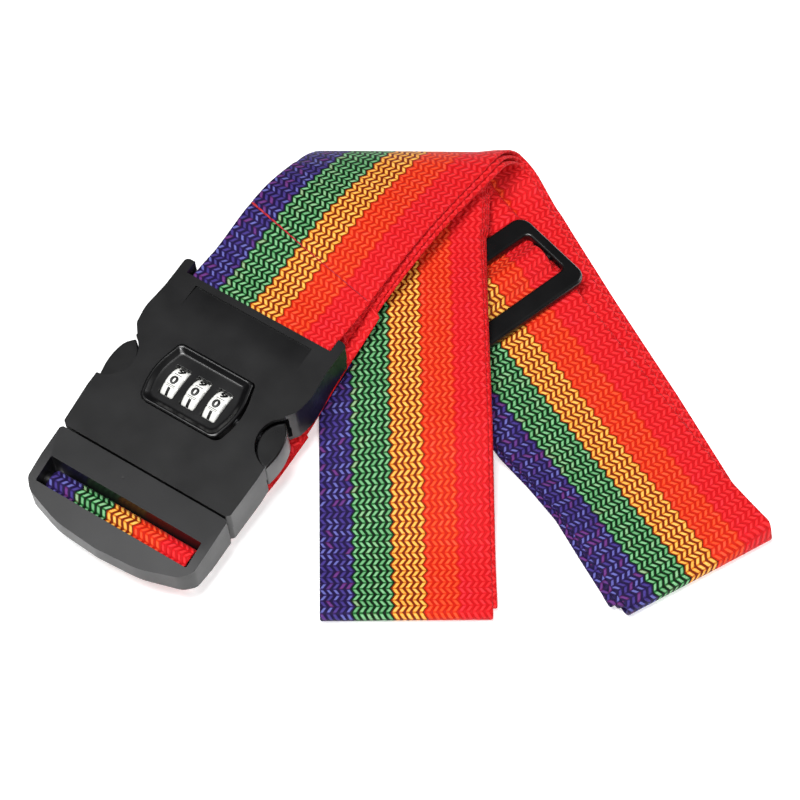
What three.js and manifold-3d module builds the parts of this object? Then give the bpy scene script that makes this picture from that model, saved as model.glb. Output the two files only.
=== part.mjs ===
// Luggage strap: 50 mm webbing folded into a bundle of three legs that meet at one apex, a
// side-release buckle with a three-wheel combination lock, and a three-bar slide adjuster.
// Millimetres, +Z up, the table at z = 0. The origin is the bottom centre of the whole bundle.
import * as THREE from "three";
import { mergeVertices } from "three/addons/utils/BufferGeometryUtils.js";
import Module from "manifold-3d";

const wasm = await Module();
wasm.setup();

// Driving dimensions ------------------------------------------------------------------------
const WEB = { width: 50, thickness: 0.95, pitch: 1.1 }; // pitch is layer to layer in a stack
const HALF = WEB.width / 2;
const layer = (n) => 0.6 + WEB.pitch * (n - 1); // height of the middle of the nth layer of a stack

const BUCKLE = { x: -56.2, y: -7.2, z: 9.6, yaw: 33.3, pitch: 6.0 }; // where its middle stands
const FEMALE = {
  front: -36.5, // mouth, where the male half enters
  back: 31, // tips of the ears beside the webbing
  body: 24.5, // end of the housing between the ears
  halfWidth: 30.3,
  height: 15.5,
  split: 7.6, // height of the parting line between the covers
  wall: 2.6,
  earInside: 26.2,
  floor: 1.8,
  bar: { y: 28.1, z: 9.0, r: 2.2 }, // anchor bar for the sewn end
};
const NOTCH = { x: 31.5, y: -6.55, r: 8.9 }; // thumb cut-out in each side
const MALE = {
  front: -37.1,
  tip: -66.1,
  shoulder: -59,
  halfWidth: 30.3,
  bottom: 1.5,
  top: 14.3,
  slot: { x: 26.7, y0: -56.3, y1: -47.5 },
  bar: { y: -51.5, z: 7.0, r: 2.2 },
};
const LOCK = { y: -5.7, z: 9.8, pitch: 7.55, wheel: 6.4, bore: 4.0, width: 4.7 };
const SLEEVE = { outer: 3.7, inner: 2.5, length: 1.6 };
const BEZEL = { x: 16.3, y0: -17.5, y1: 5.8, z0: 14.0, z1: 16.3 };
const ADJUSTER = { half: 30, along: 15.5, window: 26.3, bar: 7.0, z0: 7.9, z1: 10.7 };

// Virtual corners of the folded webbing in plan: where its middle line crosses each fold line.
const APEX = { L1: [7.9, 91.2], L2: [7.7, 87.7], L3: [7.6, 84.5] };
const APEX_M = { M4: [1.6, 65.9], M3: [0.9, 68.3], M2: [0.2, 70.7], M1: [-0.5, 73.1] };
const END_R = { outer: [88.2, -66.0], middle: [85.2, -63.4], inner: [82.6, -62.8] };
const END_M = { outer: [1.9, -79.6], inner: [3.2, -75.5] };
const ADJUSTER_FROM_APEX = 42;

// Colours and finishes ----------------------------------------------------------------------
const finish = (color, roughness, metalness = 0) =>
  new THREE.MeshStandardMaterial({ color, roughness, metalness });
const BLACK = finish(0x1c1c1e, 0.5);
const GREY = finish(0x3a3a3d, 0.45);
const WHITE = finish(0xe9e9e6, 0.4);
const STEEL = finish(0xb8bcc2, 0.3, 1);
const RAINBOW = finish(0xe0552a, 0.85);
const THREAD = finish(0xc01822, 0.8);

// Solids ------------------------------------------------------------------------------------
function solid(geometry) {
  const bare = geometry.clone();
  bare.deleteAttribute("normal");
  bare.deleteAttribute("uv");
  const merged = mergeVertices(bare, 1e-4);
  const made = new wasm.Manifold(
    new wasm.Mesh({
      numProp: 3,
      vertProperties: merged.attributes.position.array,
      triVerts: new Uint32Array(merged.index.array),
    }),
  );
  return made;
}

function geometryOf(manifold) {
  const mesh = manifold.getMesh();
  return new THREE.BufferGeometry()
    .setAttribute("position", new THREE.BufferAttribute(mesh.vertProperties, 3))
    .setIndex(new THREE.BufferAttribute(mesh.triVerts, 1));
}

function node(group, name, manifold, material) {
  const mesh = new THREE.Mesh(geometryOf(manifold), material);
  mesh.name = name;
  group.add(mesh);
  return mesh;
}

const join = (first, ...rest) => rest.reduce((a, b) => a.add(b), first);
const cut = (first, ...rest) => rest.reduce((a, b) => a.subtract(b), first);

function box(x0, x1, y0, y1, z0, z1) {
  const g = new THREE.BoxGeometry(x1 - x0, y1 - y0, z1 - z0);
  return solid(g.translate((x0 + x1) / 2, (y0 + y1) / 2, (z0 + z1) / 2));
}

function rodX(x0, x1, y, z, r, sides = 24) {
  const g = new THREE.CylinderGeometry(r, r, x1 - x0, sides);
  return solid(g.rotateZ(Math.PI / 2).translate((x0 + x1) / 2, y, z));
}

function rodZ(x, y, z0, z1, r, sides = 20) {
  const g = new THREE.CylinderGeometry(r, r, z1 - z0, sides);
  return solid(g.rotateX(Math.PI / 2).translate(x, y, (z0 + z1) / 2));
}

// A plate of a plan outline between two heights, with its top or bottom edge rounded off.
function plate(shape, z0, z1, round = 0, roundTop = true) {
  const g = new THREE.ExtrudeGeometry(shape, {
    depth: z1 - z0 - round,
    steps: 1,
    curveSegments: 6,
    bevelEnabled: round > 0,
    bevelThickness: round,
    bevelSize: round,
    bevelOffset: -round,
    bevelSegments: 2,
  });
  g.translate(0, 0, z0);
  const whole = solid(g);
  const keep = box(-90, 90, -90, 90, z0, z1 + 1);
  if (!round) return whole;
  const upright = whole.intersect(keep);
  if (roundTop) return upright;
  return upright.scale([1, 1, -1]).translate([0, 0, z0 + z1]);
}

function outline(points) {
  return new THREE.Shape(points.map(([x, y]) => new THREE.Vector2(x, y)));
}

// Mirrors the right half of an outline, given from front to back, onto the left.
function mirrored(right) {
  const left = right.map(([x, y]) => [-x, y]).reverse();
  return outline([...right, ...left]);
}

function roundedRect(x0, x1, y0, y1, r) {
  const s = new THREE.Shape();
  s.moveTo(x0 + r, y0).lineTo(x1 - r, y0);
  s.absarc(x1 - r, y0 + r, r, -Math.PI / 2, 0).lineTo(x1, y1 - r);
  s.absarc(x1 - r, y1 - r, r, 0, Math.PI / 2).lineTo(x0 + r, y1);
  s.absarc(x0 + r, y1 - r, r, Math.PI / 2, Math.PI).lineTo(x0, y0 + r);
  s.absarc(x0 + r, y0 + r, r, Math.PI, Math.PI * 1.5);
  return s;
}

// Webbing -----------------------------------------------------------------------------------
const ACROSS = [-HALF, 0, HALF]; // purple edge, middle, red edge

// One closed band through rows of three points, each row lying straight across the webbing.
function band(rows) {
  const position = [];
  const index = [];
  const n = ACROSS.length;
  const h = WEB.thickness / 2;
  rows.forEach((row, i) => {
    const before = rows[Math.max(i - 1, 0)];
    const after = rows[Math.min(i + 1, rows.length - 1)];
    const normals = row.map((_, k) => {
      const along = after[k].clone().sub(before[k]);
      const side = row[Math.min(k + 1, n - 1)].clone().sub(row[Math.max(k - 1, 0)]);
      return side.cross(along).normalize();
    });
    for (const side of [h, -h])
      row.forEach((p, k) => {
        const q = p.clone().addScaledVector(normals[k], side);
        position.push(q.x, q.y, q.z);
      });
  });
  const at = (i, k, under) => i * 2 * n + (under ? n : 0) + k;
  const quad = (a, b, c, d) => index.push(a, b, c, a, c, d);
  for (let i = 0; i + 1 < rows.length; i++) {
    for (let k = 0; k + 1 < n; k++) {
      // a twisted face is split along its higher diagonal, so that stacked layers nest
      const [p, q] = [rows[i], rows[i + 1]];
      const split = p[k].z + q[k + 1].z > p[k + 1].z + q[k].z ? 0 : 1;
      const face = [[i, k], [i, k + 1], [i + 1, k + 1], [i + 1, k]];
      const corner = (j, under) => at(...face[(j + split) % 4], under);
      quad(corner(0), corner(1), corner(2), corner(3));
      quad(corner(0, 1), corner(3, 1), corner(2, 1), corner(1, 1));
    }
    quad(at(i, 0, 1), at(i, 0), at(i + 1, 0), at(i + 1, 0, 1));
    quad(at(i, n - 1), at(i, n - 1, 1), at(i + 1, n - 1, 1), at(i + 1, n - 1));
  }
  const end = rows.length - 1;
  for (let k = 0; k + 1 < n; k++) {
    quad(at(0, k, 1), at(0, k + 1, 1), at(0, k + 1), at(0, k));
    quad(at(end, k), at(end, k + 1), at(end, k + 1, 1), at(end, k, 1));
  }
  const g = new THREE.BufferGeometry();
  g.setAttribute("position", new THREE.Float32BufferAttribute(position, 3));
  g.setIndex(index);
  return solid(g);
}

// A sloping, twisting surface that a leg rests on. Each station gives its place along the leg
// and the heights at the two sides of the leg, and heights run straight between them.
function surface(along, across, sides, stations) {
  const height = (p) => {
    const key = p.dot(along);
    const after = stations.findIndex((st) => st[0] >= key);
    const b = stations[after < 0 ? stations.length - 1 : after];
    const a = after <= 0 ? b : stations[after - 1];
    const t = b[0] > a[0] ? (key - a[0]) / (b[0] - a[0]) : 0;
    const share = (p.dot(across) - sides[0]) / (sides[1] - sides[0]);
    const left = a[1] + (b[1] - a[1]) * t;
    const right = a[2] + (b[2] - a[2]) * t;
    return left + (right - left) * share;
  };
  return { along, height, keys: stations.map((st) => st[0]) };
}

const raised = (base, lift) => ({ ...base, height: (p) => base.height(p) + lift });
const level = (z) => ({ height: () => z, keys: [] });

// Lays webbing along the given corners: each corner is a diagonal fold over a half cylinder,
// whose axis lies along the bisector of the two legs, so the band never stretches in plan.
// beds[i] is the surface that leg i rests on.
function foldedRows(corners, beds, redSide) {
  const pts = corners.map(([x, y]) => new THREE.Vector2(x, y));
  const rows = [];
  const distances = (value) => ACROSS.map(value);
  let d = pts[1].clone().sub(pts[0]).normalize();
  let w = new THREE.Vector2(d.y, -d.x).multiplyScalar(redSide);
  let start = distances(() => 0); // from the corner to where the leg's flat part starts
  beds.forEach((bed, i) => {
    const from = pts[i];
    const to = pts[i + 1];
    const plan = (s, t) => from.clone().addScaledVector(d, s).addScaledVector(w, t);
    const addRow = (ss) =>
      rows.push(
        ACROSS.map((t, k) => {
          const p = plan(ss[k], t);
          return new THREE.Vector3(p.x, p.y, bed.height(p));
        }),
      );
    const last = i === beds.length - 1;
    const length = to.distanceTo(from);
    const z0 = bed.height(to);
    const z1 = last ? z0 : beds[i + 1].height(to);
    const r = Math.abs(z1 - z0) / 2;
    const quarter = (Math.PI * r) / 2;
    const dNext = last ? d : pts[i + 2].clone().sub(to).normalize();
    const n = last ? d : d.clone().sub(dNext).normalize();
    const end = distances((t) => length - (t * w.dot(n) + quarter) / d.dot(n));
    addRow(start);
    const sign = bed.along ? Math.sign(d.dot(bed.along)) : 1;
    [...bed.keys]
      .sort((a, b) => (a - b) * sign)
      .map((key) => distances((t) => (key - plan(0, t).dot(bed.along)) / d.dot(bed.along)))
      .filter((ss) => ss.every((v, k) => v > start[k] + 1 && v < end[k] - 1))
      .forEach(addRow);
    addRow(end);
    if (last) return;
    const c = new THREE.Vector2(-n.y, n.x);
    const arc = Math.max(6, Math.round(4 + r));
    const startLine = to.dot(n) - quarter;
    for (let j = 1; j < arc; j++) {
      const angle = (Math.PI * j) / arc;
      rows.push(
        ACROSS.map((t, k) => {
          const flat = plan(end[k] + (angle * r) / d.dot(n), t);
          const out = startLine + r * Math.sin(angle);
          const p = c.clone().multiplyScalar(flat.dot(c)).addScaledVector(n, out);
          return new THREE.Vector3(p.x, p.y, z0 + (z1 - z0) * 0.5 * (1 - Math.cos(angle)));
        }),
      );
    }
    start = distances((t) => (quarter - t * w.dot(n)) / d.dot(n));
    w = w.clone().addScaledVector(n, -2 * w.dot(n));
    d = d.clone().addScaledVector(n, -2 * d.dot(n));
  });
  return rows;
}

// Rows through points given as [distance along a direction in plan, height].
function profileRows(points, origin, along, across) {
  return points.map(([s, z]) =>
    ACROSS.map(
      (t) =>
        new THREE.Vector3(
          origin.x + along.x * s + across.x * t,
          origin.y + along.y * s + across.y * t,
          z,
        ),
    ),
  );
}

function arcPoints(cs, cz, r, from, to, steps) {
  return Array.from({ length: steps + 1 }, (_, j) => {
    const a = THREE.MathUtils.degToRad(from + ((to - from) * j) / steps);
    return [cs + r * Math.cos(a), cz + r * Math.sin(a)];
  });
}

function smoothed(points, steps) {
  const curve = new THREE.CatmullRomCurve3(
    points.map(([s, z]) => new THREE.Vector3(s, 0, z)),
    false,
    "centripetal",
  );
  return curve.getSpacedPoints(steps).map((p) => [p.x, p.z]);
}

// Frames ------------------------------------------------------------------------------------
const root = new THREE.Group();
const webbing = new THREE.Group();
const buckle = new THREE.Group();
const adjuster = new THREE.Group();
root.add(webbing, buckle, adjuster);

const rad = THREE.MathUtils.degToRad;
buckle.position.set(BUCKLE.x, BUCKLE.y, BUCKLE.z);
buckle.rotation.set(rad(BUCKLE.pitch), 0, -rad(BUCKLE.yaw), "ZXY");

const axisDir = new THREE.Vector2(Math.sin(rad(BUCKLE.yaw)), Math.cos(rad(BUCKLE.yaw)));
const axisSide = new THREE.Vector2(axisDir.y, -axisDir.x);
const buckleXY = new THREE.Vector2(BUCKLE.x, BUCKLE.y);

// A point of the buckle's middle plane as [distance along its axis in plan, height].
function sidePoint(y, z) {
  const c = Math.cos(rad(BUCKLE.pitch));
  const s = Math.sin(rad(BUCKLE.pitch));
  return [y * c - z * s, BUCKLE.z + y * s + z * c];
}
const onAxis = (s) => buckleXY.clone().addScaledVector(axisDir, s).toArray();

const apexM4 = new THREE.Vector2(...APEX_M.M4);
const rightDir = new THREE.Vector2(...END_R.outer).sub(apexM4).normalize();
const rightSide = new THREE.Vector2(-rightDir.y, rightDir.x); // towards the red edge
const adjusterXY = apexM4.clone().addScaledVector(rightDir, ADJUSTER_FROM_APEX);
adjuster.position.set(adjusterXY.x, adjusterXY.y, 0);
adjuster.rotation.z = Math.atan2(rightSide.y, rightSide.x);

// Female half -------------------------------------------------------------------------------
function femaleOutline() {
  const w = FEMALE.halfWidth;
  return mirrored([
    [w - 1.2, FEMALE.front],
    [w, FEMALE.front + 1.5],
    [w + 0.2, -16],
    [w - 1.5, 2.2],
    [w + 0.6, 5.5],
    [w + 0.6, 12],
    [w - 0.4, 21],
    [w - 0.9, FEMALE.back - 1.5],
    [w - 2.4, FEMALE.back],
  ]);
}

// Opening between the ears, where the webbing goes round the anchor bar.
const earGap = () =>
  box(-FEMALE.earInside, FEMALE.earInside, FEMALE.body, FEMALE.back + 2, -2, 20);

const notches = () =>
  join(
    rodZ(NOTCH.x, NOTCH.y, -2, 20, NOTCH.r, 32),
    rodZ(-NOTCH.x, NOTCH.y, -2, 20, NOTCH.r, 32),
  );

// Hollow for the arms, the tongue and the lock, open at the mouth.
function cavity(z0, z1) {
  const x = FEMALE.halfWidth - FEMALE.wall;
  return join(
    box(-x, x, FEMALE.front - 2, 3.5, z0, z1),
    box(-x + 9, x - 9, 3, 12, z0, z1),
  );
}

const SCREWS = [
  [-14.5, -26],
  [14.5, -26],
  [-21, 15],
  [21, 15],
];
const SCREW = { shank: 1.0, head: 2.0, headHeight: 1.2, top: 12.0 };

// The underside tapers up towards the anchor end, to clear the webbing that runs under it.
const TAPER = { from: 6, rise: 5.2 };
function underTaper() {
  const s = outline([
    [TAPER.from, -1],
    [FEMALE.back + 2, -1],
    [FEMALE.back + 2, TAPER.rise],
    [FEMALE.body - 2, TAPER.rise],
    [TAPER.from, 0],
  ]);
  const g = new THREE.ExtrudeGeometry(s, { depth: 80, bevelEnabled: false });
  // the outline's x runs along the buckle and its y is height
  g.applyMatrix4(
    new THREE.Matrix4().set(0, 0, 1, -40, 1, 0, 0, 0, 0, 1, 0, 0, 0, 0, 0, 1),
  );
  return solid(g);
}

function femaleBottom() {
  const shape = femaleOutline();
  const shell = cut(
    plate(shape, 0, FEMALE.split, 1.4, false),
    cavity(FEMALE.floor, FEMALE.split + 1),
    notches(),
    underTaper(),
    earGap(),
  );
  const posts = SCREWS.map(([x, y]) => rodZ(x, y, 0.9, FEMALE.split, 2.9));
  const holes = SCREWS.flatMap(([x, y]) => [
    rodZ(x, y, -1, 9, 1.3),
    rodZ(x, y, -1, y > 0 ? 4.2 : 1.6, 2.4),
  ]);
  const cradles = [-1, 1].map((side) =>
    box(side * 13.3 - 0.6, side * 13.3 + 0.6, LOCK.y - 4, LOCK.y + 4, 0.9, LOCK.z + 3),
  );
  const bar = rodX(-27, 27, FEMALE.bar.y, FEMALE.bar.z, FEMALE.bar.r);
  return cut(
    join(shell, ...posts, ...cradles, bar),
    ...holes,
    rodX(-16, 16, LOCK.y, LOCK.z, 2.2),
    box(-5.5, 5.5, 7.5, 10.1, -1, FEMALE.floor + 1), // slot of the code reset slider
  );
}

function femaleTop() {
  const z0 = FEMALE.split + 0.3;
  const roof = FEMALE.height - 1.8;
  const shell = cut(
    plate(femaleOutline(), z0, FEMALE.height, 1.2),
    cavity(z0 - 1, roof),
    notches(),
    earGap(),
    // step down to the webbing at the anchor end
    box(-26, 26, 23, 40, FEMALE.height - 1.6, 20),
    rodX(-27.4, 27.4, FEMALE.bar.y, FEMALE.bar.z, FEMALE.bar.r + 0.3),
  );
  const window = plate(
    roundedRect(-BEZEL.x + 2.5, BEZEL.x - 2.5, BEZEL.y0 + 2.5, BEZEL.y1 - 2.5, 3),
    10,
    20,
  );
  const seat = plate(
    roundedRect(-BEZEL.x - 0.3, BEZEL.x + 0.3, BEZEL.y0 - 0.3, BEZEL.y1 + 0.3, 5.3),
    BEZEL.z0 + 0.2,
    20,
  );
  const posts = SCREWS.map(([x, y]) => rodZ(x, y, z0, roof + 0.9, 2.9));
  const holes = SCREWS.map(([x, y]) => rodZ(x, y, z0 - 1, SCREW.top + 0.5, 1.3));
  return cut(join(shell, ...posts), window, seat, ...holes);
}

function bezel() {
  const rim = plate(roundedRect(-BEZEL.x, BEZEL.x, BEZEL.y0, BEZEL.y1, 5), 14.6, BEZEL.z1, 0.8);
  const dish = plate(
    roundedRect(-BEZEL.x + 2.2, BEZEL.x - 2.2, BEZEL.y0 + 2.4, BEZEL.y1 - 2.4, 3.4),
    BEZEL.z1 - 0.7,
    20,
  );
  const windows = [-1, 0, 1].map((i) =>
    box(
      i * LOCK.pitch - 2.6,
      i * LOCK.pitch + 2.6,
      LOCK.y - 5.4,
      LOCK.y + 5.4,
      10,
      20,
    ),
  );
  return cut(rim, dish, ...windows);
}

// Lock --------------------------------------------------------------------------------------
// A wheel with ten finger grooves round its rim and a smooth bore.
function wheel(x) {
  const w = LOCK.width / 2;
  const drum = rodX(x - w, x + w, LOCK.y, LOCK.z, LOCK.wheel, 40);
  const grooves = Array.from({ length: 10 }, (_, i) => {
    const a = rad(36 * i + 18);
    return rodX(
      x - w - 1,
      x - w + 0.8,
      LOCK.y + LOCK.wheel * Math.cos(a),
      LOCK.z + LOCK.wheel * Math.sin(a),
      0.7,
      8,
    );
  });
  return cut(drum, rodX(x - w - 1, x + w + 1, LOCK.y, LOCK.z, LOCK.bore, 24), ...grooves);
}

// The clutch sleeve inside a wheel: a tube with one lengthwise gate for the spindle's fin.
function sleeve(x) {
  const h = SLEEVE.length / 2;
  return cut(
    rodX(x - h, x + h, LOCK.y, LOCK.z, SLEEVE.outer, 24),
    rodX(x - h - 1, x + h + 1, LOCK.y, LOCK.z, SLEEVE.inner, 20),
    box(x - h - 1, x + h + 1, LOCK.y - 0.8, LOCK.y + 0.8, LOCK.z + 1, LOCK.z + 5),
  );
}

// The bolt. At rest each fin stands just beyond its sleeve, and the right-hand arm pushes the
// bolt left, so that each fin passes through its sleeve's gate.
const SPINDLE = { r: 1.8, x0: -13.5, x1: 23.3, fin: 0.9, finTop: 3.3, finGap: 0.3 };
function spindle() {
  const fins = [-1, 0, 1].map((i) => {
    const x = i * LOCK.pitch + SLEEVE.length / 2 + SPINDLE.finGap;
    return box(x, x + SPINDLE.fin, LOCK.y - 0.6, LOCK.y + 0.6, LOCK.z, LOCK.z + SPINDLE.finTop);
  });
  const collar = rodX(20.3, 21.5, LOCK.y, LOCK.z, 3.0, 20);
  const rod = rodX(SPINDLE.x0, SPINDLE.x1, LOCK.y, LOCK.z, SPINDLE.r, 20);
  return join(rod, ...fins, collar);
}

// A coil spring as one swept wire, its axis along X.
function coil(x0, x1, y, z, radius, wire, turns) {
  class Helix extends THREE.Curve {
    getPoint(t) {
      const a = t * turns * 2 * Math.PI;
      const x = x0 + (x1 - x0) * t;
      return new THREE.Vector3(x, y + radius * Math.cos(a), z + radius * Math.sin(a));
    }
  }
  const section = outline(
    Array.from({ length: 6 }, (_, i) => {
      const a = (i * Math.PI) / 3;
      return [wire * Math.cos(a), wire * Math.sin(a)];
    }),
  );
  return solid(
    new THREE.ExtrudeGeometry(section, {
      steps: turns * 14,
      extrudePath: new Helix(),
      bevelEnabled: false,
    }),
  );
}

// Comb of three leaf fingers that click into the wheels.
function detentSpring() {
  const base = box(-10.5, 10.5, LOCK.y - 10.2, LOCK.y - 9.6, 2.2, 5);
  const fingers = [-1, 0, 1].map((i) => {
    const x = i * LOCK.pitch;
    const profile = outline([
      [LOCK.y - 10.2, 4],
      [LOCK.y - 9.6, 4],
      [LOCK.y - 7.0, LOCK.z],
      [LOCK.y - 7.6, LOCK.z + 0.2],
    ]);
    const g = new THREE.ExtrudeGeometry(profile, { depth: 2.6, bevelEnabled: false });
    g.applyMatrix4(
      new THREE.Matrix4().set(0, 0, 1, x - 1.3, 1, 0, 0, 0, 0, 1, 0, 0, 0, 0, 0, 1),
    );
    return solid(g);
  });
  return join(base, ...fingers);
}

function resetSlider() {
  return join(
    box(-2.6, 2.6, 7.8, 9.8, 0.9, 3.2),
    box(-4.2, 4.2, 6.4, 11.2, FEMALE.floor + 0.3, FEMALE.floor + 1.4),
  );
}

function screw([x, y]) {
  const z0 = y > 0 ? 2.9 : 0.3;
  const body = join(
    rodZ(x, y, z0, z0 + SCREW.headHeight, SCREW.head, 16),
    rodZ(x, y, z0, SCREW.top, SCREW.shank, 12),
  );
  return cut(
    body,
    box(x - 1.3, x + 1.3, y - 0.25, y + 0.25, z0 - 1, z0 + 0.6),
    box(x - 0.25, x + 0.25, y - 1.3, y + 1.3, z0 - 1, z0 + 0.6),
  );
}

// Male half ---------------------------------------------------------------------------------
function maleFrame() {
  const w = MALE.halfWidth;
  const s = new THREE.Shape();
  s.moveTo(w - 0.6, MALE.front).lineTo(w, MALE.front - 2).lineTo(w, MALE.shoulder + 3);
  s.quadraticCurveTo(w - 0.3, MALE.shoulder - 1.8, w - 4, MALE.shoulder - 2.6);
  s.quadraticCurveTo(w / 2 - 2, MALE.tip, 0, MALE.tip);
  s.quadraticCurveTo(-w / 2 + 2, MALE.tip, -w + 4, MALE.shoulder - 2.6);
  s.quadraticCurveTo(-w + 0.3, MALE.shoulder - 1.8, -w, MALE.shoulder + 3);
  s.lineTo(-w, MALE.front - 2).lineTo(-w + 0.6, MALE.front);
  const { slot, bar } = MALE;
  const body = cut(
    plate(s, MALE.bottom, MALE.top, 1.6),
    box(-slot.x, slot.x, slot.y0, slot.y1, -5, 20),
  );
  const tongue = join(
    box(-6, 6, MALE.front - 1, -17, 5, 9.5),
    box(-26, 26, MALE.front - 1, MALE.front + 0.01, 4, 11),
  );
  return join(body, tongue, rodX(-slot.x - 0.5, slot.x + 0.5, bar.y, bar.z, bar.r));
}

const ARM = { x: 21.5, y: -36.4, z0: 4.4, z1: 11.2, padZ0: 2.7, padZ1: 13.0 };
// A springy prong, with the thumb pad that shows in the notch and catches on the wall behind it.
function releaseArm(side) {
  const s = new THREE.Shape();
  s.moveTo(ARM.x - 1.8, ARM.y).lineTo(ARM.x + 1.8, ARM.y);
  s.quadraticCurveTo(26.4, -26, 26.8, -14.0).lineTo(29.5, -14.6);
  s.quadraticCurveTo(31.2, -7, 28.6, 1.2);
  s.quadraticCurveTo(25.5, 1.6, 23.9, -1).lineTo(23.6, -15);
  s.quadraticCurveTo(22.6, -26, ARM.x - 1.8, ARM.y);
  const whole = plate(s, ARM.padZ0, ARM.padZ1, 0.6);
  const slim = join(
    box(10, 40, -40, -13, ARM.z1, 20),
    box(10, 40, -40, -13, -2, ARM.z0),
  );
  const arm = cut(whole, slim);
  return side > 0 ? arm : arm.scale([-1, 1, 1]);
}

// Adjuster ----------------------------------------------------------------------------------
// Its local x runs across the webbing towards the red edge, and its y back to the apex.
function slideAdjuster() {
  const { half, along, window, z0, z1 } = ADJUSTER;
  const ring = cut(
    plate(roundedRect(-half, half, -along, along, 4.5), z0, z1, 1.0),
    plate(roundedRect(-window, window, -along + ADJUSTER.bar, along - ADJUSTER.bar, 1.2), 0, 20),
  );
  const centre = box(-window - 0.5, window + 0.5, -2, 2, 7.95, 9.0);
  const lugs = [-1, 1].map((side) =>
    box(side * (window + 1.8) - 1.8, side * (window + 1.8) + 1.8, -2, 2, 7.95, z1 - 1),
  );
  return join(ring, centre, ...lugs);
}

// Assembly ----------------------------------------------------------------------------------
node(buckle, "female_bottom_cover", femaleBottom(), BLACK);
node(buckle, "female_top_cover", femaleTop(), BLACK);
node(buckle, "dial_bezel", bezel(), BLACK);
[-1, 0, 1].forEach((i) => {
  node(buckle, `number_wheel_${i + 2}`, wheel(i * LOCK.pitch), WHITE);
  node(buckle, `clutch_sleeve_${i + 2}`, sleeve(i * LOCK.pitch), STEEL);
});
node(buckle, "lock_spindle", spindle(), STEEL);
node(buckle, "spindle_spring", coil(14.6, 19.6, LOCK.y, LOCK.z, 2.75, 0.3, 4), STEEL);
node(buckle, "dial_detent_spring", detentSpring(), STEEL);
node(buckle, "code_reset_slider", resetSlider(), GREY);
SCREWS.forEach((at, i) => node(buckle, `housing_screw_${i + 1}`, screw(at), STEEL));
node(buckle, "male_frame", maleFrame(), BLACK);
node(buckle, "release_arm_left", releaseArm(-1), BLACK);
node(buckle, "release_arm_right", releaseArm(1), BLACK);
node(adjuster, "slide_adjuster", slideAdjuster(), BLACK);

// Heights of the layers at the apex, where every leg lies on the ones below.
const TOP = { L1: 18.3, L2: 17.2, L3: 16.1, M1: 15.0, M2: 13.9, M3: 12.8, M4: 11.7 };

// The lowest middle leg rests on the adjuster, then comes down to the table.
const planX = new THREE.Vector2(1, 0);
const planY = new THREE.Vector2(0, 1);
const middleBed = surface(planY, planX, [-24, 26], [
  [-56, 0.6, 0.6],
  [-47, 1.0, 3.8],
  [-38, 1.8, 7.2],
  [-29, 2.8, 10.6],
  [-20, 4.0, 14.0],
  [0, 8.0, 14.2],
  [27, 10.8, 14.0],
  [45, TOP.M4, TOP.M4],
]);
const middleLeg = (n) => raised(middleBed, WEB.pitch * (4 - n));

// The lowest left leg passes over the middle legs, and then under the buckle.
const axisKey = (s) => s + buckleXY.dot(axisDir);
const axisSides = [-HALF, HALF].map((t) => t + buckleXY.dot(axisSide));
const leftBed = surface(axisDir, axisSide, axisSides, [
  [axisKey(-10), 0.6, 0.6],
  [axisKey(10), 1.5, 7.2],
  [axisKey(20), 3.2, 11.3],
  [axisKey(32), 6.6, 15.0],
  [axisKey(50), 12.6, 17.4],
  [axisKey(62), 15.6, 17.4],
  [axisKey(80), TOP.L3, 17.0],
  [axisKey(92), TOP.L3, TOP.L3],
]);
const leftUnder = (n) => raised(leftBed, WEB.pitch * (3 - n));
const leftTopBed = surface(axisDir, axisSide, axisSides, [
  [axisKey(62), 21.2, 21.2],
  [axisKey(80), 19.0, 19.6],
  [axisKey(92), TOP.L1, TOP.L1],
]);

const alongRight = (s) => apexM4.clone().addScaledVector(rightDir, s).toArray();
const rightEnd = END_R.outer;
const rightKey = (s) => s + apexM4.dot(rightDir);
// beyond the adjuster the tail has ended, so the top layer comes down by one
const rightTopBed = surface(rightDir, rightSide, [0, 1], [
  [rightKey(ADJUSTER_FROM_APEX + 20), layer(7), layer(7)],
  [rightKey(ADJUSTER_FROM_APEX + 60), layer(6), layer(6)],
]);

const GAP = 0.4; // between the pieces that the webbing is split into where a joint moves it
const LOOP_END = -43.5; // where the webbing under the buckle meets the loop round the male bar
const HUMP_REACH = 17.5; // half the length of the webbing that the adjuster holds
const WRAP = FEMALE.bar.r + 0.3 + WEB.thickness / 2;
const [barS, barZ] = sidePoint(FEMALE.bar.y, FEMALE.bar.z);
const [maleS, maleZ] = sidePoint(MALE.bar.y, MALE.bar.z);
const hump = ADJUSTER_FROM_APEX;
const maleJoin = onAxis(LOOP_END + 3 * GAP);

const SEWN = barS + 34; // where the webbing over the anchor bar leaves the left leg's bed
const OVER = smoothed(
  [
    [SEWN - 4, 21.6],
    [barS + 15, 23.1],
    [barS + 7, barZ + WRAP - 0.2],
    [barS + 2, barZ + WRAP],
  ],
  6,
);

// Height of the webbing's middle above the anchor loop, at a distance along the buckle's axis.
function overBar(s) {
  const i = OVER.findIndex(([at]) => at <= s);
  const [[s1, z1], [s0, z0]] = [OVER[i - 1], OVER[i]];
  return z0 + ((z1 - z0) * (s - s0)) / (s1 - s0);
}

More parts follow.
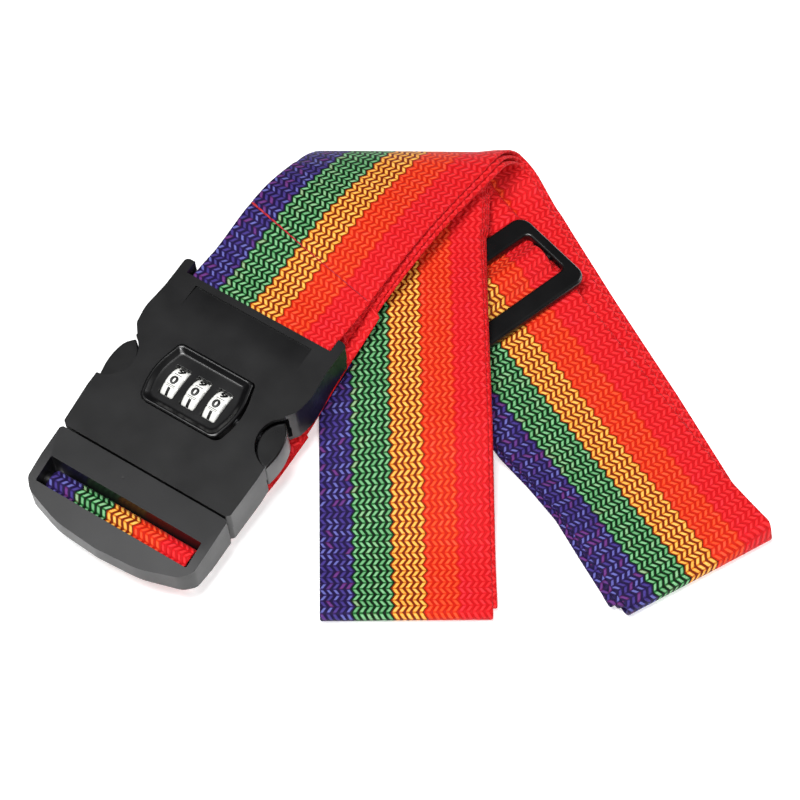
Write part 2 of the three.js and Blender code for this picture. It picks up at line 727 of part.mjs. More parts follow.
// Anchor run: right leg 7 beyond the adjuster, right leg 1, left leg 1, then round the anchor
// bar and back under itself, where it is sewn.
function anchorRun() {
  const legs = foldedRows(
    [alongRight(hump + HUMP_REACH + GAP), rightEnd, APEX.L1, onAxis(SEWN)],
    [rightTopBed, level(layer(1)), leftTopBed],
    -1,
  );
  const under = [
    [barS + 2, barZ - WRAP],
    [barS + 9, 18.9],
    [barS + 18, 20.0],
    [barS + 29, 20.1],
  ];
  const loop = [
    ...OVER,
    ...arcPoints(barS, barZ, WRAP, 90, 270, 10),
    ...smoothed(under, 6),
  ];
  return band([...legs, ...profileRows(loop, buckleXY, axisDir, axisSide)]);
}

// Middle run: from the male loop up left leg 3, down right leg 3, back right leg 4, down and
// back the middle legs 1 and 4, and out along right leg 7 to the adjuster.
function middleRun() {
  const corners = [
    maleJoin,
    APEX.L3,
    END_R.inner,
    APEX_M.M1,
    END_M.outer,
    APEX_M.M4,
    alongRight(hump - HUMP_REACH - GAP),
  ];
  const beds = [
    leftUnder(3),
    level(layer(3)),
    level(layer(4)),
    middleLeg(1),
    middleLeg(4),
    level(layer(7)),
  ];
  return band(foldedRows(corners, beds, 1));
}

// Tail run: from the male loop up left leg 2, down right leg 2, back right leg 5, down and
// back the middle legs 2 and 3, and out along right leg 6 to the adjuster.
function tailRun() {
  const corners = [
    maleJoin,
    APEX.L2,
    END_R.middle,
    APEX_M.M2,
    END_M.inner,
    APEX_M.M3,
    alongRight(hump - HUMP_REACH - 5 * GAP),
  ];
  const beds = [
    leftUnder(2),
    level(layer(2)),
    level(layer(5)),
    middleLeg(2),
    middleLeg(3),
    level(layer(6)),
  ];
  return band(foldedRows(corners, beds, 1));
}

// The loop round the male bar.
function maleLoop() {
  const points = [
    [LOOP_END, layer(1)],
    [maleS + 1, layer(1)],
    [maleS - 2.4, 2.2],
    [maleS - WRAP, maleZ - 3],
    ...arcPoints(maleS, maleZ, WRAP, 180, 0, 6),
    [maleS + WRAP, maleZ - 3],
    [maleS + WRAP + 1.2, 3.4],
    [LOOP_END - 1.6, layer(2)],
    [LOOP_END, layer(2)],
  ];
  return band(profileRows(smoothed(points, 34), buckleXY, axisDir, axisSide));
}

// The webbing that rises over the adjuster's middle bar.
function adjusterRun() {
  const half = [
    [HUMP_REACH, layer(7)],
    [13, layer(7)],
    [9, layer(7)],
    [5.2, 8.9],
    [2, 10.9],
  ];
  const points = [
    ...half.map(([s, z]) => [hump - s, z]),
    [hump, 11.1],
    ...half.reverse().map(([s, z]) => [hump + s, z]),
  ];
  return band(profileRows(smoothed(points, 28), apexM4, rightDir, rightSide));
}

// The sewn tail, wrapped round the adjuster's middle bar.
function tailLoop() {
  const points = [
    [-HUMP_REACH, layer(6)],
    [-12, layer(6)],
    [-8, layer(6) + 0.1],
    [-4.4, 7.9],
    [-2.4, 9.5],
    [0, 9.9],
    [2.2, 9.6],
    [3.2, 8.1],
    [2.2, 6.8],
    [0, 6.5],
    [-1.4, 6.5],
  ].map(([s, z]) => [hump + s, z]);
  return band(profileRows(smoothed(points, 28), apexM4, rightDir, rightSide));
}

node(webbing, "webbing_anchor_run", anchorRun(), RAINBOW);
node(webbing, "webbing_middle_run", middleRun(), RAINBOW);
node(webbing, "webbing_tail_run", tailRun(), RAINBOW);
node(webbing, "webbing_male_loop", maleLoop(), RAINBOW);
node(webbing, "webbing_adjuster_run", adjusterRun(), RAINBOW);
node(webbing, "webbing_tail_loop", tailLoop(), RAINBOW);

// Sewing threads lie on the webbing as thin cords: each row holds the corners of a section.
function cord(sections) {
  const n = sections[0].length;
  const position = sections.flat().flatMap((p) => [p.x, p.y, p.z]);
  const index = [];
  for (let i = 0; i + 1 < sections.length; i++) {
    for (let k = 0; k < n; k++) {
      const [a, b] = [i * n + k, i * n + ((k + 1) % n)];
      index.push(a, b + n, b, a, a + n, b + n);
    }
  }
  const last = (sections.length - 1) * n;
  for (let k = 1; k + 1 < n; k++) {
    index.push(0, k, k + 1, last, last + k + 1, last + k);
  }
  const g = new THREE.BufferGeometry();
  g.setAttribute("position", new THREE.Float32BufferAttribute(position, 3));
  g.setIndex(index);
  return solid(g);
}

// The seam that closes the anchor loop crosses the webbing a little askew.
const SEAM = { purple: 29, red: 20.5, width: 0.9, height: 0.4, inset: 1.2, clear: 0.12 };
function anchorSeam() {
  const sections = [];
  const steps = 8;
  for (let i = 0; i <= steps; i++) {
    const t = -HALF + SEAM.inset + ((WEB.width - 2 * SEAM.inset) * i) / steps;
    const s = barS + SEAM.purple + ((SEAM.red - SEAM.purple) * i) / steps;
    const low = overBar(s) + WEB.thickness / 2 + SEAM.clear;
    const at = (ds, z) => profileRows([[s + ds, z]], buckleXY, axisDir, axisSide)[0][1]
      .clone().add(new THREE.Vector3(axisSide.x * t, axisSide.y * t, 0));
    const w = SEAM.width / 2;
    sections.push([
      at(-w, low),
      at(-w, low + SEAM.height),
      at(w, low + SEAM.height),
      at(w, low),
    ]);
  }
  return cord(sections);
}

node(webbing, "anchor_seam", anchorSeam(), THREAD);

// The bundle's own origin is the bottom centre of its box.
root.updateMatrixWorld(true);
const size = new THREE.Box3().setFromObject(root, true);
const middle = size.getCenter(new THREE.Vector3());
root.position.set(-middle.x, -middle.y, -size.min.z);

export default root;
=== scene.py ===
"""Luggage strap: rainbow webbing folded into a bundle, a combination-lock side-release buckle
and a slide adjuster. Millimetres in the helpers, metres in the scene."""

import math

import bmesh
import bpy
import numpy as np
from mathutils import Matrix, Vector


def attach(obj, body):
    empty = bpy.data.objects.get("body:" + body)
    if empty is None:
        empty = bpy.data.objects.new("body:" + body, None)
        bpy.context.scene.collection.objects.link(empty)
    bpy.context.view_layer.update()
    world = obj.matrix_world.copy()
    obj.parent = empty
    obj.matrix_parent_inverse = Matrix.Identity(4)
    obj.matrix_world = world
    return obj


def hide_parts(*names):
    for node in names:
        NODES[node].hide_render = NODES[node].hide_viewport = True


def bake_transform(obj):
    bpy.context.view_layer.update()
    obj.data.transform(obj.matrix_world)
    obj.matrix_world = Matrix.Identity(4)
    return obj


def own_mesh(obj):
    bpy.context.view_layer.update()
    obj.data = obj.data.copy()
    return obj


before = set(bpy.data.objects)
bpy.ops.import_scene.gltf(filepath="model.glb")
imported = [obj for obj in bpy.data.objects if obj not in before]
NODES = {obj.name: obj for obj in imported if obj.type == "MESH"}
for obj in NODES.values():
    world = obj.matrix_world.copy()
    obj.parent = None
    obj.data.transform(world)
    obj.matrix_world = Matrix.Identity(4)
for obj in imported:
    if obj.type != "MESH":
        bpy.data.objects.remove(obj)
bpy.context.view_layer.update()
MM = 0.001
SHIFT = np.array([2.33, -4.35, 0.069])  # from the layout's origin to the row frame's

# Camera --------------------
ELEVATION, DISTANCE, LENS = 57.0, 0.95, 141.1
AIM = Vector(SHIFT * MM)


def add_object(name, data):
    obj = bpy.data.objects.new(name, data)
    bpy.context.scene.collection.objects.link(obj)
    return obj


def add_camera():
    data = bpy.data.cameras.new("camera")
    data.lens, data.sensor_width = LENS, 36.0
    data.clip_start, data.clip_end = 0.05, 20.0
    cam = add_object("camera", data)
    el = math.radians(ELEVATION)
    back = Vector((0.0, -math.cos(el), math.sin(el)))
    cam.location = AIM + back * DISTANCE
    cam.rotation_euler = (math.radians(90.0 - ELEVATION), 0.0, 0.0)
    bpy.context.scene.camera = cam


add_camera()

# Driving dimensions, in the layout's millimetres --------------------
HALF, PITCH, THICK = 25.0, 1.1, 0.95
BUCKLE = dict(x=-56.2, y=-7.2, z=9.6, yaw=math.radians(33.3), pitch=math.radians(6.0))
APEX = dict(L1=(7.8, 89.4), L2=(7.7, 86.6), L3=(7.6, 83.8))
APEX_M = dict(M4=(1.6, 65.9), M3=(0.9, 68.3), M2=(0.2, 70.7), M1=(-0.5, 73.1))
END_R = dict(outer=(88.2, -64.2), middle=(85.2, -61.8), inner=(82.6, -61.2))
END_M = dict(outer=(1.9, -77.6), inner=(3.2, -73.7))
TOP = dict(L1=18.3, L2=17.2, L3=16.1, M4=11.7)
HUMP, REACH, LOOP_END = 42.0, 17.5, -40.5
# the buckle, in its own frame: y runs from the handle to the sewn end
FRONT, BACK = -34.4, 31.0
MALE = dict(slot0=-53.2, slot1=-44.6, bar=-48.9, half=26.9, tip=-61.6)
BAR_RADIUS = 2.2  # of the two bars that the webbing goes round


def layer(n):
    return 0.6 + PITCH * (n - 1)


def unit(v):
    v = np.asarray(v, float)
    return v / np.linalg.norm(v)


# Webbing --------------------
axis_dir = np.array([math.sin(BUCKLE["yaw"]), math.cos(BUCKLE["yaw"])])
axis_side = np.array([axis_dir[1], -axis_dir[0]])
buckle_xy = np.array([BUCKLE["x"], BUCKLE["y"]])
apex_m4 = np.array(APEX_M["M4"])
right_dir = unit(np.array(END_R["outer"]) - apex_m4)
right_side = np.array([-right_dir[1], right_dir[0]])


def on_axis(s):
    return buckle_xy + axis_dir * s


def along_right(s):
    return apex_m4 + right_dir * s


def side_point(y, z):
    c, s = math.cos(BUCKLE["pitch"]), math.sin(BUCKLE["pitch"])
    return y * c - z * s, BUCKLE["z"] + y * s + z * c


def from_buckle(plan):
    """Places along the buckle's axis and to its side, of points in plan."""
    return (plan - buckle_xy) @ axis_dir, (plan - buckle_xy) @ axis_side


class Bed:
    """A surface that a leg of webbing rests on, given by the heights of its two sides at
    stations along it. It is smoothed along its length, in the same way for every layer."""

    SOFT = 5.0  # mm each way

    def __init__(self, along, across, sides, stations, lift=0.0):
        self.along, self.across, self.sides = np.array(along), np.array(across), sides
        self.stations, self.lift = np.array(stations, float), lift

    def raised(self, lift):
        return Bed(self.along, self.across, self.sides, self.stations, lift)

    def height(self, p):
        key = p @ self.along
        share = (p @ self.across - self.sides[0]) / (self.sides[1] - self.sides[0])
        z = 0.0
        for o in np.linspace(-1, 1, 9):
            at = key + o * self.SOFT
            left = np.interp(at, self.stations[:, 0], self.stations[:, 1])
            right = np.interp(at, self.stations[:, 0], self.stations[:, 2])
            z = z + (left + (right - left) * share) / 9.0
        return z + self.lift


def flat(z):
    return Bed((1, 0), (0, 1), (0, 1), [(0, z, z)])


def ellipse_quarter(a, b):
    """A quarter of the way round an ellipse, after Ramanujan."""
    return math.pi * (3 * (a + b) - math.sqrt((3 * a + b) * (a + 3 * b))) / 4


ARCH = dict(rise=5.5, start=36.0, crest=86.0)  # the left leg arches from buckle to crest


def arch(plan):
    """How high the left leg arches above what it rests on, at points in plan."""
    s, t = from_buckle(plan)
    crest = (ARCH["crest"] - buckle_xy[1] - axis_side[1] * t) / axis_dir[1]
    share = np.clip((s - ARCH["start"]) / (crest - ARCH["start"]), 0, 1)
    return ARCH["rise"] * np.sin(math.pi * share) ** 1.3


ROW_STEP = 2.0  # mm between rows along a leg


def folded(corners, beds, ts, arched=()):
    """Rows of points of webbing laid along corners, and each point's own place along it.
    Every corner is a diagonal fold over a half cylinder on the bisector of its legs; a tall
    fold is oval, and reaches further than it is high."""
    pts = [np.asarray(c, float) for c in corners]
    rows, places = [], []
    d = unit(pts[1] - pts[0])
    w = np.array([d[1], -d[0]])
    start, base = np.zeros_like(ts), 0.0
    for i, bed in enumerate(beds):
        a, b = pts[i], pts[i + 1]
        last = i == len(beds) - 1
        length = np.linalg.norm(b - a)
        z0 = float(bed.height(b[None])[0])
        z1 = z0 if last else float(beds[i + 1].height(b[None])[0])
        r = abs(z1 - z0) / 2
        reach = r * (1 + 0.6 * float(np.clip((r - 3) / 4, 0, 1)))
        quarter = ellipse_quarter(reach, r)
        d_next = d if last else unit(pts[i + 2] - b)
        n = d if last else unit(d - d_next)
        dn = d @ n
        end = length - (ts * (w @ n) + quarter) / dn
        count = max(2, int(np.max(end - start) / ROW_STEP))
        for j in range(count + 1):
            ss = start + (end - start) * j / count
            p = a + np.outer(ss, d) + np.outer(ts, w)
            rise = arch(p) if i in arched else 0.0
            rows.append(np.column_stack([p, bed.height(p) + rise]))
            places.append(base + ss)
        if last:
            break
        c = np.array([-n[1], n[0]])
        arc = max(10, int(8 + 2.2 * r))
        line = b @ n - quarter
        for j in range(1, arc):
            angle = math.pi * j / arc
            ss = end + angle / math.pi * 2 * quarter / dn
            across = (a + np.outer(ss, d) + np.outer(ts, w)) @ c
            out = line + reach * math.sin(angle)
            p = np.outer(across, c) + n * out
            z = np.full(len(ts), z0 + (z1 - z0) * 0.5 * (1 - math.cos(angle)))
            if z[0] > (z0 + z1) / 2 and (i in arched or i + 1 in arched):
                z += arch(p)
            rows.append(np.column_stack([p, z]))
            places.append(base + ss)
        start = (quarter - ts * (w @ n)) / dn
        base += length
        w = w - 2 * (w @ n) * n
        d = d - 2 * (d @ n) * n
    return np.array(rows), np.array(places)


def between(u, t0, t1, a, b):
    """The point at u on the line that is at a when u is t0, and at b when it is t1."""
    return (t1 - u) / (t1 - t0) * a + (u - t0) / (t1 - t0) * b


def run_length(points):
    """The distance along a line of points at each of them."""
    steps = np.linalg.norm(np.diff(points, axis=0), axis=1)
    return np.concatenate([[0], np.cumsum(steps)])


def catmull(points, steps):
    """Points evenly spaced along a centripetal Catmull-Rom curve through 2-D points."""
    p = np.array(points, float)
    p = np.vstack([2 * p[0] - p[1], p, 2 * p[-1] - p[-2]])
    out = []
    for i in range(1, len(p) - 2):
        q = p[i - 1 : i + 3]
        t = np.concatenate([[0], np.cumsum(np.linalg.norm(np.diff(q, axis=0), axis=1) ** 0.5)])
        for u in np.linspace(t[1], t[2], 24, endpoint=False):
            a = [between(u, t[k], t[k + 1], q[k], q[k + 1]) for k in range(3)]
            b = [between(u, t[k], t[k + 2], a[k], a[k + 1]) for k in range(2)]
            out.append(between(u, t[1], t[2], *b))
    out = np.array(out + [p[-2]])
    s = run_length(out)
    at = np.linspace(0, s[-1], steps + 1)
    return np.column_stack([np.interp(at, s, out[:, 0]), np.interp(at, s, out[:, 1])])


SLIDER_TURN = math.radians(6.5)  # the slide adjuster lies askew on the webbing


def slider_lean(q):
    near = float(np.clip((REACH - abs(q - HUMP)) / (REACH - 5.0), 0, 1))
    return -math.tan(SLIDER_TURN) * near * near * (3 - 2 * near)


def arc_points(cs, cz, r, a0, a1, steps):
    a = np.radians(np.linspace(a0, a1, steps + 1))
    return np.column_stack([cs + r * np.cos(a), cz + r * np.sin(a)])


def profile(points, origin, along, across, ts, leaning=lambda q: 0.0):
    """Rows of webbing that follow a curve in its own upright plane. A leaning row runs askew
    across the webbing."""
    points = np.asarray(points, float)
    s = run_length(points)
    rows = []
    for q, z in points:
        plan = origin + along * q + np.outer(ts, across) + np.outer(ts * leaning(q), along)
        rows.append(np.column_stack([plan, np.full(len(ts), z)]))
    return np.array(rows), np.repeat(s[:, None], len(ts), axis=1)


axis_at = buckle_xy @ axis_dir
axis_sides = [t + buckle_xy @ axis_side for t in (-HALF, HALF)]
left_bed = Bed(axis_dir, axis_side, axis_sides, [
    (axis_at - 10, 0.6, 0.6),
    (axis_at + 10, 1.5, 7.2),
    (axis_at + 20, 3.2, 11.3),
    (axis_at + 32, 6.6, 15.0),
    (axis_at + 50, 12.6, 17.4),
    (axis_at + 62, 15.6, 17.4),
    (axis_at + 80, TOP["L3"], 17.0),
    (axis_at + 92, TOP["L3"], TOP["L3"]),
])
left_top = Bed(axis_dir, axis_side, axis_sides, [
    (axis_at + 62, 21.2, 21.2),
    (axis_at + 80, 19.0, 19.6),
    (axis_at + 92, TOP["L1"], TOP["L1"]),
])
middle_bed = Bed((0, 1), (1, 0), (-24, 26), [
    (-56, 0.6, 0.6),
    (-47, 1.0, 3.8),
    (-38, 1.8, 7.2),
    (-29, 2.8, 10.6),
    (-20, 4.0, 14.0),
    (0, 8.0, 14.2),
    (27, 10.8, 14.0),
    (45, TOP["M4"], TOP["M4"]),
])
right_at = apex_m4 @ right_dir
right_top = Bed(right_dir, right_side, (0, 1), [
    (right_at + HUMP + 20, layer(7), layer(7)),
    (right_at + HUMP + 60, layer(6), layer(6)),
])
BAR = side_point(28.1, 9.0)
MALE_BAR = side_point(MALE["bar"], 7.2)
WRAP = BAR_RADIUS + 0.3 + THICK / 2
SEWN = BAR[0] + 34


UNDER_BUCKLE = (3, 4, 5)  # the parts of the path that pass below the buckle


def strap_path(ts):
    """The whole strap from its sewn anchor end to its sewn tail: rows of points, and each
    point's place along it."""
    parts = []
    s, z = BAR
    under = [(s + 29, 20.1), (s + 18, 20.0), (s + 9, 18.9), (s + 2, z - WRAP)]
    over = [(s + 2, z + WRAP), (s + 7, z + WRAP - 0.2), (s + 15, 23.1), (SEWN - 5, 21.9), (SEWN, 21.2)]
    loop = np.vstack([catmull(under, 16), arc_points(*BAR, WRAP, 270, 90, 14), catmull(over, 16)])
    parts.append(profile(loop, buckle_xy, axis_dir, axis_side, ts))
    parts[0][0][..., 2] += arch(parts[0][0][..., :2])
    parts.append(folded(
        [on_axis(SEWN), APEX["L1"], END_R["outer"], along_right(HUMP + REACH)],
        [left_top, flat(layer(1)), right_top], ts, {0}))
    half = [(REACH, layer(7)), (13, layer(7)), (9, layer(7)), (5.2, 8.9), (2, 10.9)]
    hump = [(HUMP + s, z) for s, z in half] + [(HUMP, 11.1)] + [(HUMP - s, z) for s, z in half[::-1]]
    parts.append(profile(catmull(hump, 40), apex_m4, right_dir, right_side, ts, slider_lean))
    m = [middle_bed.raised(PITCH * (4 - n)) for n in (1, 2, 3, 4)]
    under3, under2 = left_bed, left_bed.raised(PITCH)
    parts.append(folded(
        [along_right(HUMP - REACH), APEX_M["M4"], END_M["outer"], APEX_M["M1"], END_R["inner"],
         APEX["L3"], on_axis(LOOP_END)],
        [flat(layer(7)), m[3], m[0], flat(layer(4)), flat(layer(3)), under3], ts, {5}))
    s, z = MALE_BAR
    wide = WRAP + 0.55
    turn = [(LOOP_END, layer(1)), (s + 1, layer(1)), (s - 2.4, 2.2), (s - wide, z - 3)]
    turn += [(s + (p - s) * wide / WRAP, q) for p, q in arc_points(s, z, WRAP, 180, 0, 6)]
    turn += [(s + wide, z - 3), (s + wide + 0.9, 3.4), (LOOP_END - 1.6, layer(2)), (LOOP_END, layer(2))]
    parts.append(profile(catmull(turn, 60), buckle_xy, axis_dir, axis_side, ts))
    parts.append(folded(
        [on_axis(LOOP_END), APEX["L2"], END_R["middle"], APEX_M["M2"], END_M["inner"],
         APEX_M["M3"], along_right(HUMP - REACH)],
        [under2, flat(layer(2)), flat(layer(5)), m[1], m[2], flat(layer(6))], ts, {0}))
    tail = [(-REACH, layer(6)), (-12, layer(6)), (-8, layer(6) + 0.1), (-4.4, 7.9), (-2.4, 9.5),
            (0, 9.9), (2.2, 9.6), (3.2, 8.1), (2.2, 6.8), (0, 6.5), (-1.4, 6.5)]
    tail = [(HUMP + s, z) for s, z in tail]
    parts.append(profile(catmull(tail, 44), apex_m4, right_dir, right_side, ts, slider_lean))
    rows, places, at = [], [], 0.0
    middle = len(ts) // 2
    for number, (r, p) in enumerate(parts):
        r = drifted(r) if number in UNDER_BUCKLE else r
        rows.append(r if not rows else r[1:])
        p = p + at
        at = p[-1, middle]
        places.append(p if len(places) == 0 else p[1:])
    return settled(np.vstack(rows)), np.vstack(places)


# How the folded legs lie where nothing presses them flat: (places, amounts in mm)
CREST_SLANT = ([-26, 36], [-1.5, 0.9])
RED_EDGE_OUT = ([0, 10, 25, 60, 100, 140, 165], [1.0, 2.2, 2.9, 1.9, 1.4, 0.2, 0.0])
RED_EDGE_UP = ([132, 145, 157, 166, 172], [0.0, 3.0, 6.2, 4.6, 0.0])
PURPLE_EDGE_IN = ([90, 104, 118, 132, 146], [0.0, 0.7, 1.0, 0.4, 0.0])
PURPLE_EDGE_UP = ([90, 104, 118, 132, 146], [0.0, 2.0, 3.0, 1.4, 0.0])


def settled(rows):
    """The crest lies a little aslant, and the right leg's two edges are bowed."""
    x, y, z = rows[..., 0], rows[..., 1], rows[..., 2]
    s = (rows[..., :2] - apex_m4) @ right_dir
    t = (rows[..., :2] - apex_m4) @ right_side
    on_leg = (s > 0) & (t > -27 - 0.12 * np.clip(s - 92, 0, 60))
    red = np.where(on_leg, np.clip(t / HALF, 0, 1.1) ** 2, 0.0)
    purple = np.where(on_leg, np.clip(-t / HALF, 0, 1.1) ** 2, 0.0)
    near_crest = np.clip((y - 60) / 25, 0, 1)
    high = np.clip((z - 4.5) / 2.5, 0, 1)
    below_slider = np.where(np.abs(s - HUMP) < REACH, np.clip((8.8 - z) / 1.4, 0, 1), 1.0)
    out = red * below_slider * np.interp(s, *RED_EDGE_OUT)
    out += purple * np.interp(s, *PURPLE_EDGE_IN)
    up = red * high * np.interp(s, *RED_EDGE_UP) + purple * np.interp(s, *PURPLE_EDGE_UP)
    moved = rows.copy()
    moved[..., :2] += out[..., None] * right_side
    moved[..., 1] += near_crest * np.interp(x, *CREST_SLANT)
    moved[..., 2] += up
    return moved


def drifted(rows):
    """Under the buckle the two lower layers have slipped towards its right-hand side."""
    middle = rows.shape[1] // 2
    s, t = from_buckle(rows[:, middle, :2])
    low = (np.abs(t) < 1.0) & (s < 112)
    share = np.interp(s, [-40, -22, 5, 35, 70, 108], [2.6, 2.4, 3.8, 2.8, 1.8, 0.0])
    rows[..., :2] += (np.where(low, share, 0.0)[:, None] * axis_side)[:, None, :]
    return rows


SEAM = dict(purple=30.5, red=20.5)  # where it meets the two edges, in mm from the anchor bar
DENTED_ABOVE = 20.8  # mm


def seam_line(t):
    """The slanting seam's place along the buckle's axis, at a place across the webbing."""
    return BAR[0] + SEAM["purple"] + (SEAM["red"] - SEAM["purple"]) * (t + HALF) / (2 * HALF)


def seam_dent(rows):
    """The seam pulls the upper webbing down a little along its slanting line."""
    s, t = from_buckle(rows[..., :2])
    dent = 0.3 * np.exp(-(((s - seam_line(t)) / 1.4) ** 2))
    rows[..., 2] -= np.where(rows[..., 2] > DENTED_ABOVE, dent, 0.0)
    return rows


def make_strap():
    n = 15
    inner = np.linspace(-24.6, 24.6, n)
    edge = [24.93, 25.08]
    ts = np.unique(np.concatenate([inner, edge, [-e for e in edge]]))
    rows, places = strap_path(ts)
    rows = seam_dent(rows)
    along = np.gradient(rows, axis=0)
    across = np.gradient(rows, axis=1)
    normal = np.cross(across, along)
    normal /= np.linalg.norm(normal, axis=2, keepdims=True)
    h = THICK / 2
    k = len(ts)
    ring = [(i, h) for i in range(2, k - 2)] + [(k - 2, 0.66 * h), (k - 1, 0.0), (k - 2, -0.66 * h)]
    ring += [(i, -h) for i in range(k - 3, 1, -1)] + [(1, -0.66 * h), (0, 0.0), (1, 0.66 * h)]
    index = np.array([i for i, _ in ring])
    off = np.array([o for _, o in ring])
    points = rows[:, index] + normal[:, index] * off[None, :, None]
    uv = np.dstack([np.repeat(ts[index][None], len(rows), 0), places[:, index]])
    return (points + SHIFT) * MM, uv, rows[:, k // 2] + SHIFT


def strap_piece(name, points, uv, first, last, material):
    """A closed piece of the webbing, from one row to another."""
    p = points[first : last + 1]
    u = uv[first : last + 1]
    m, k = p.shape[:2]
    mesh = bpy.data.meshes.new(name)
    faces, corner = [], []
    for i in range(m - 1):
        for j in range(k):
            j2 = (j + 1) % k
            faces.append((i * k + j, (i + 1) * k + j, (i + 1) * k + j2, i * k + j2))
            corner += [(i, j), (i + 1, j), (i + 1, j2), (i, j2)]
    for row in (0, m - 1):
        order = list(range(k)) if row == 0 else list(range(k - 1, -1, -1))
        faces.append([row * k + j for j in order])
        corner += [(row, j) for j in order]
    mesh.from_pydata(p.reshape(-1, 3).tolist(), [], faces)
    layer_uv = mesh.uv_layers.new(name="strap")
    c = np.array(corner)
    layer_uv.data.foreach_set("uv", u[c[:, 0], c[:, 1]].astype(np.float32).ravel())
    obj = link_object(name, mesh, Matrix.Identity(4), material)
    bm = bmesh.new()
    bm.from_mesh(mesh)
    bmesh.ops.recalc_face_normals(bm, faces=bm.faces)
    for e in bm.edges:
        if max(len(f.verts) for f in e.link_faces) > 4:
            e.smooth = False
    bm.to_mesh(mesh)
    bm.free()
    mesh.shade_smooth()
    return obj


# Materials --------------------
STRIPE_STOPS = (0.0, 0.199, 0.399, 0.599, 0.799)


class Shader:
    """Small helper for building a node material."""

    def __init__(self, name, **sockets):
        self.material = bpy.data.materials.new(name)
        self.material.use_nodes = True
        self.tree = self.material.node_tree
        self.bsdf = self.tree.nodes["Principled BSDF"]
        for key, value in sockets.items():
            self.bsdf.inputs[key.replace("_", " ")].default_value = value

    def add(self, kind, **settings):
        node = self.tree.nodes.new(kind)
        for key, value in settings.items():
            setattr(node, key, value)
        return node

    def link(self, a, b):
        if hasattr(a, "outputs"):
            a = a.outputs[0]
        if hasattr(a, "is_output") and a.is_output:
            self.tree.links.new(a, b)
        else:
            b.default_value = a

    def math(self, operation, a, b=None, c=None):
        node = self.add("ShaderNodeMath", operation=operation)
        for i, v in enumerate((a, b, c)):
            if v is not None:
                self.link(v, node.inputs[i])
        return node.outputs[0]

    def stripes(self, value, *colours):
        """The five stripes' colours, which change abruptly."""
        node = self.add("ShaderNodeValToRGB")
        node.color_ramp.interpolation = "CONSTANT"
        elements = node.color_ramp.elements
        while len(elements) < len(colours):
            elements.new(0.5)
        for e, at, colour in zip(elements, STRIPE_STOPS, colours):
            e.position = at
            e.color = (*srgb(*colour), 1.0)
        self.link(value, node.inputs[0])
        return node.outputs[0]

    def mix(self, share, a, b):
        node = self.add("ShaderNodeMix", data_type="RGBA")
        self.link(share, node.inputs[0])
        for value, socket in ((a, node.inputs[6]), (b, node.inputs[7])):
            if isinstance(value, tuple):
                value = (*value, 1.0)
            self.link(value, socket)
        return node.outputs[2]

    def noise(self, vector, scale, detail=2.0):
        node = self.add("ShaderNodeTexNoise")
        self.link(vector, node.inputs["Vector"])
        node.inputs["Scale"].default_value = scale
        node.inputs["Detail"].default_value = detail
        return node.outputs[0]

    def smooth(self, value, low, high, a=0.0, b=1.0):
        node = self.add("ShaderNodeMapRange", interpolation_type="SMOOTHSTEP")
        self.link(value, node.inputs[0])
        for i, v in enumerate((low, high, a, b)):
            node.inputs[i + 1].default_value = v
        return node.outputs[0]

    def bump(self, height, distance, strength):
        node = self.add("ShaderNodeBump")
        node.inputs["Strength"].default_value = strength
        node.inputs["Distance"].default_value = distance
        self.link(height, node.inputs["Height"])
        return node.outputs[0]

    def drive(self, socket, value):
        self.link(value, self.bsdf.inputs[socket])

    def coords(self):
        return self.add("ShaderNodeTexCoord").outputs["Object"]


def srgb(r, g, b):
    def f(c):
        c /= 255.0
        return c / 12.92 if c <= 0.04045 else ((c + 0.055) / 1.055) ** 2.4

    return (f(r), f(g), f(b))


FLOAT_PERIOD = 3.9  # mm, one float to the left and one to the right


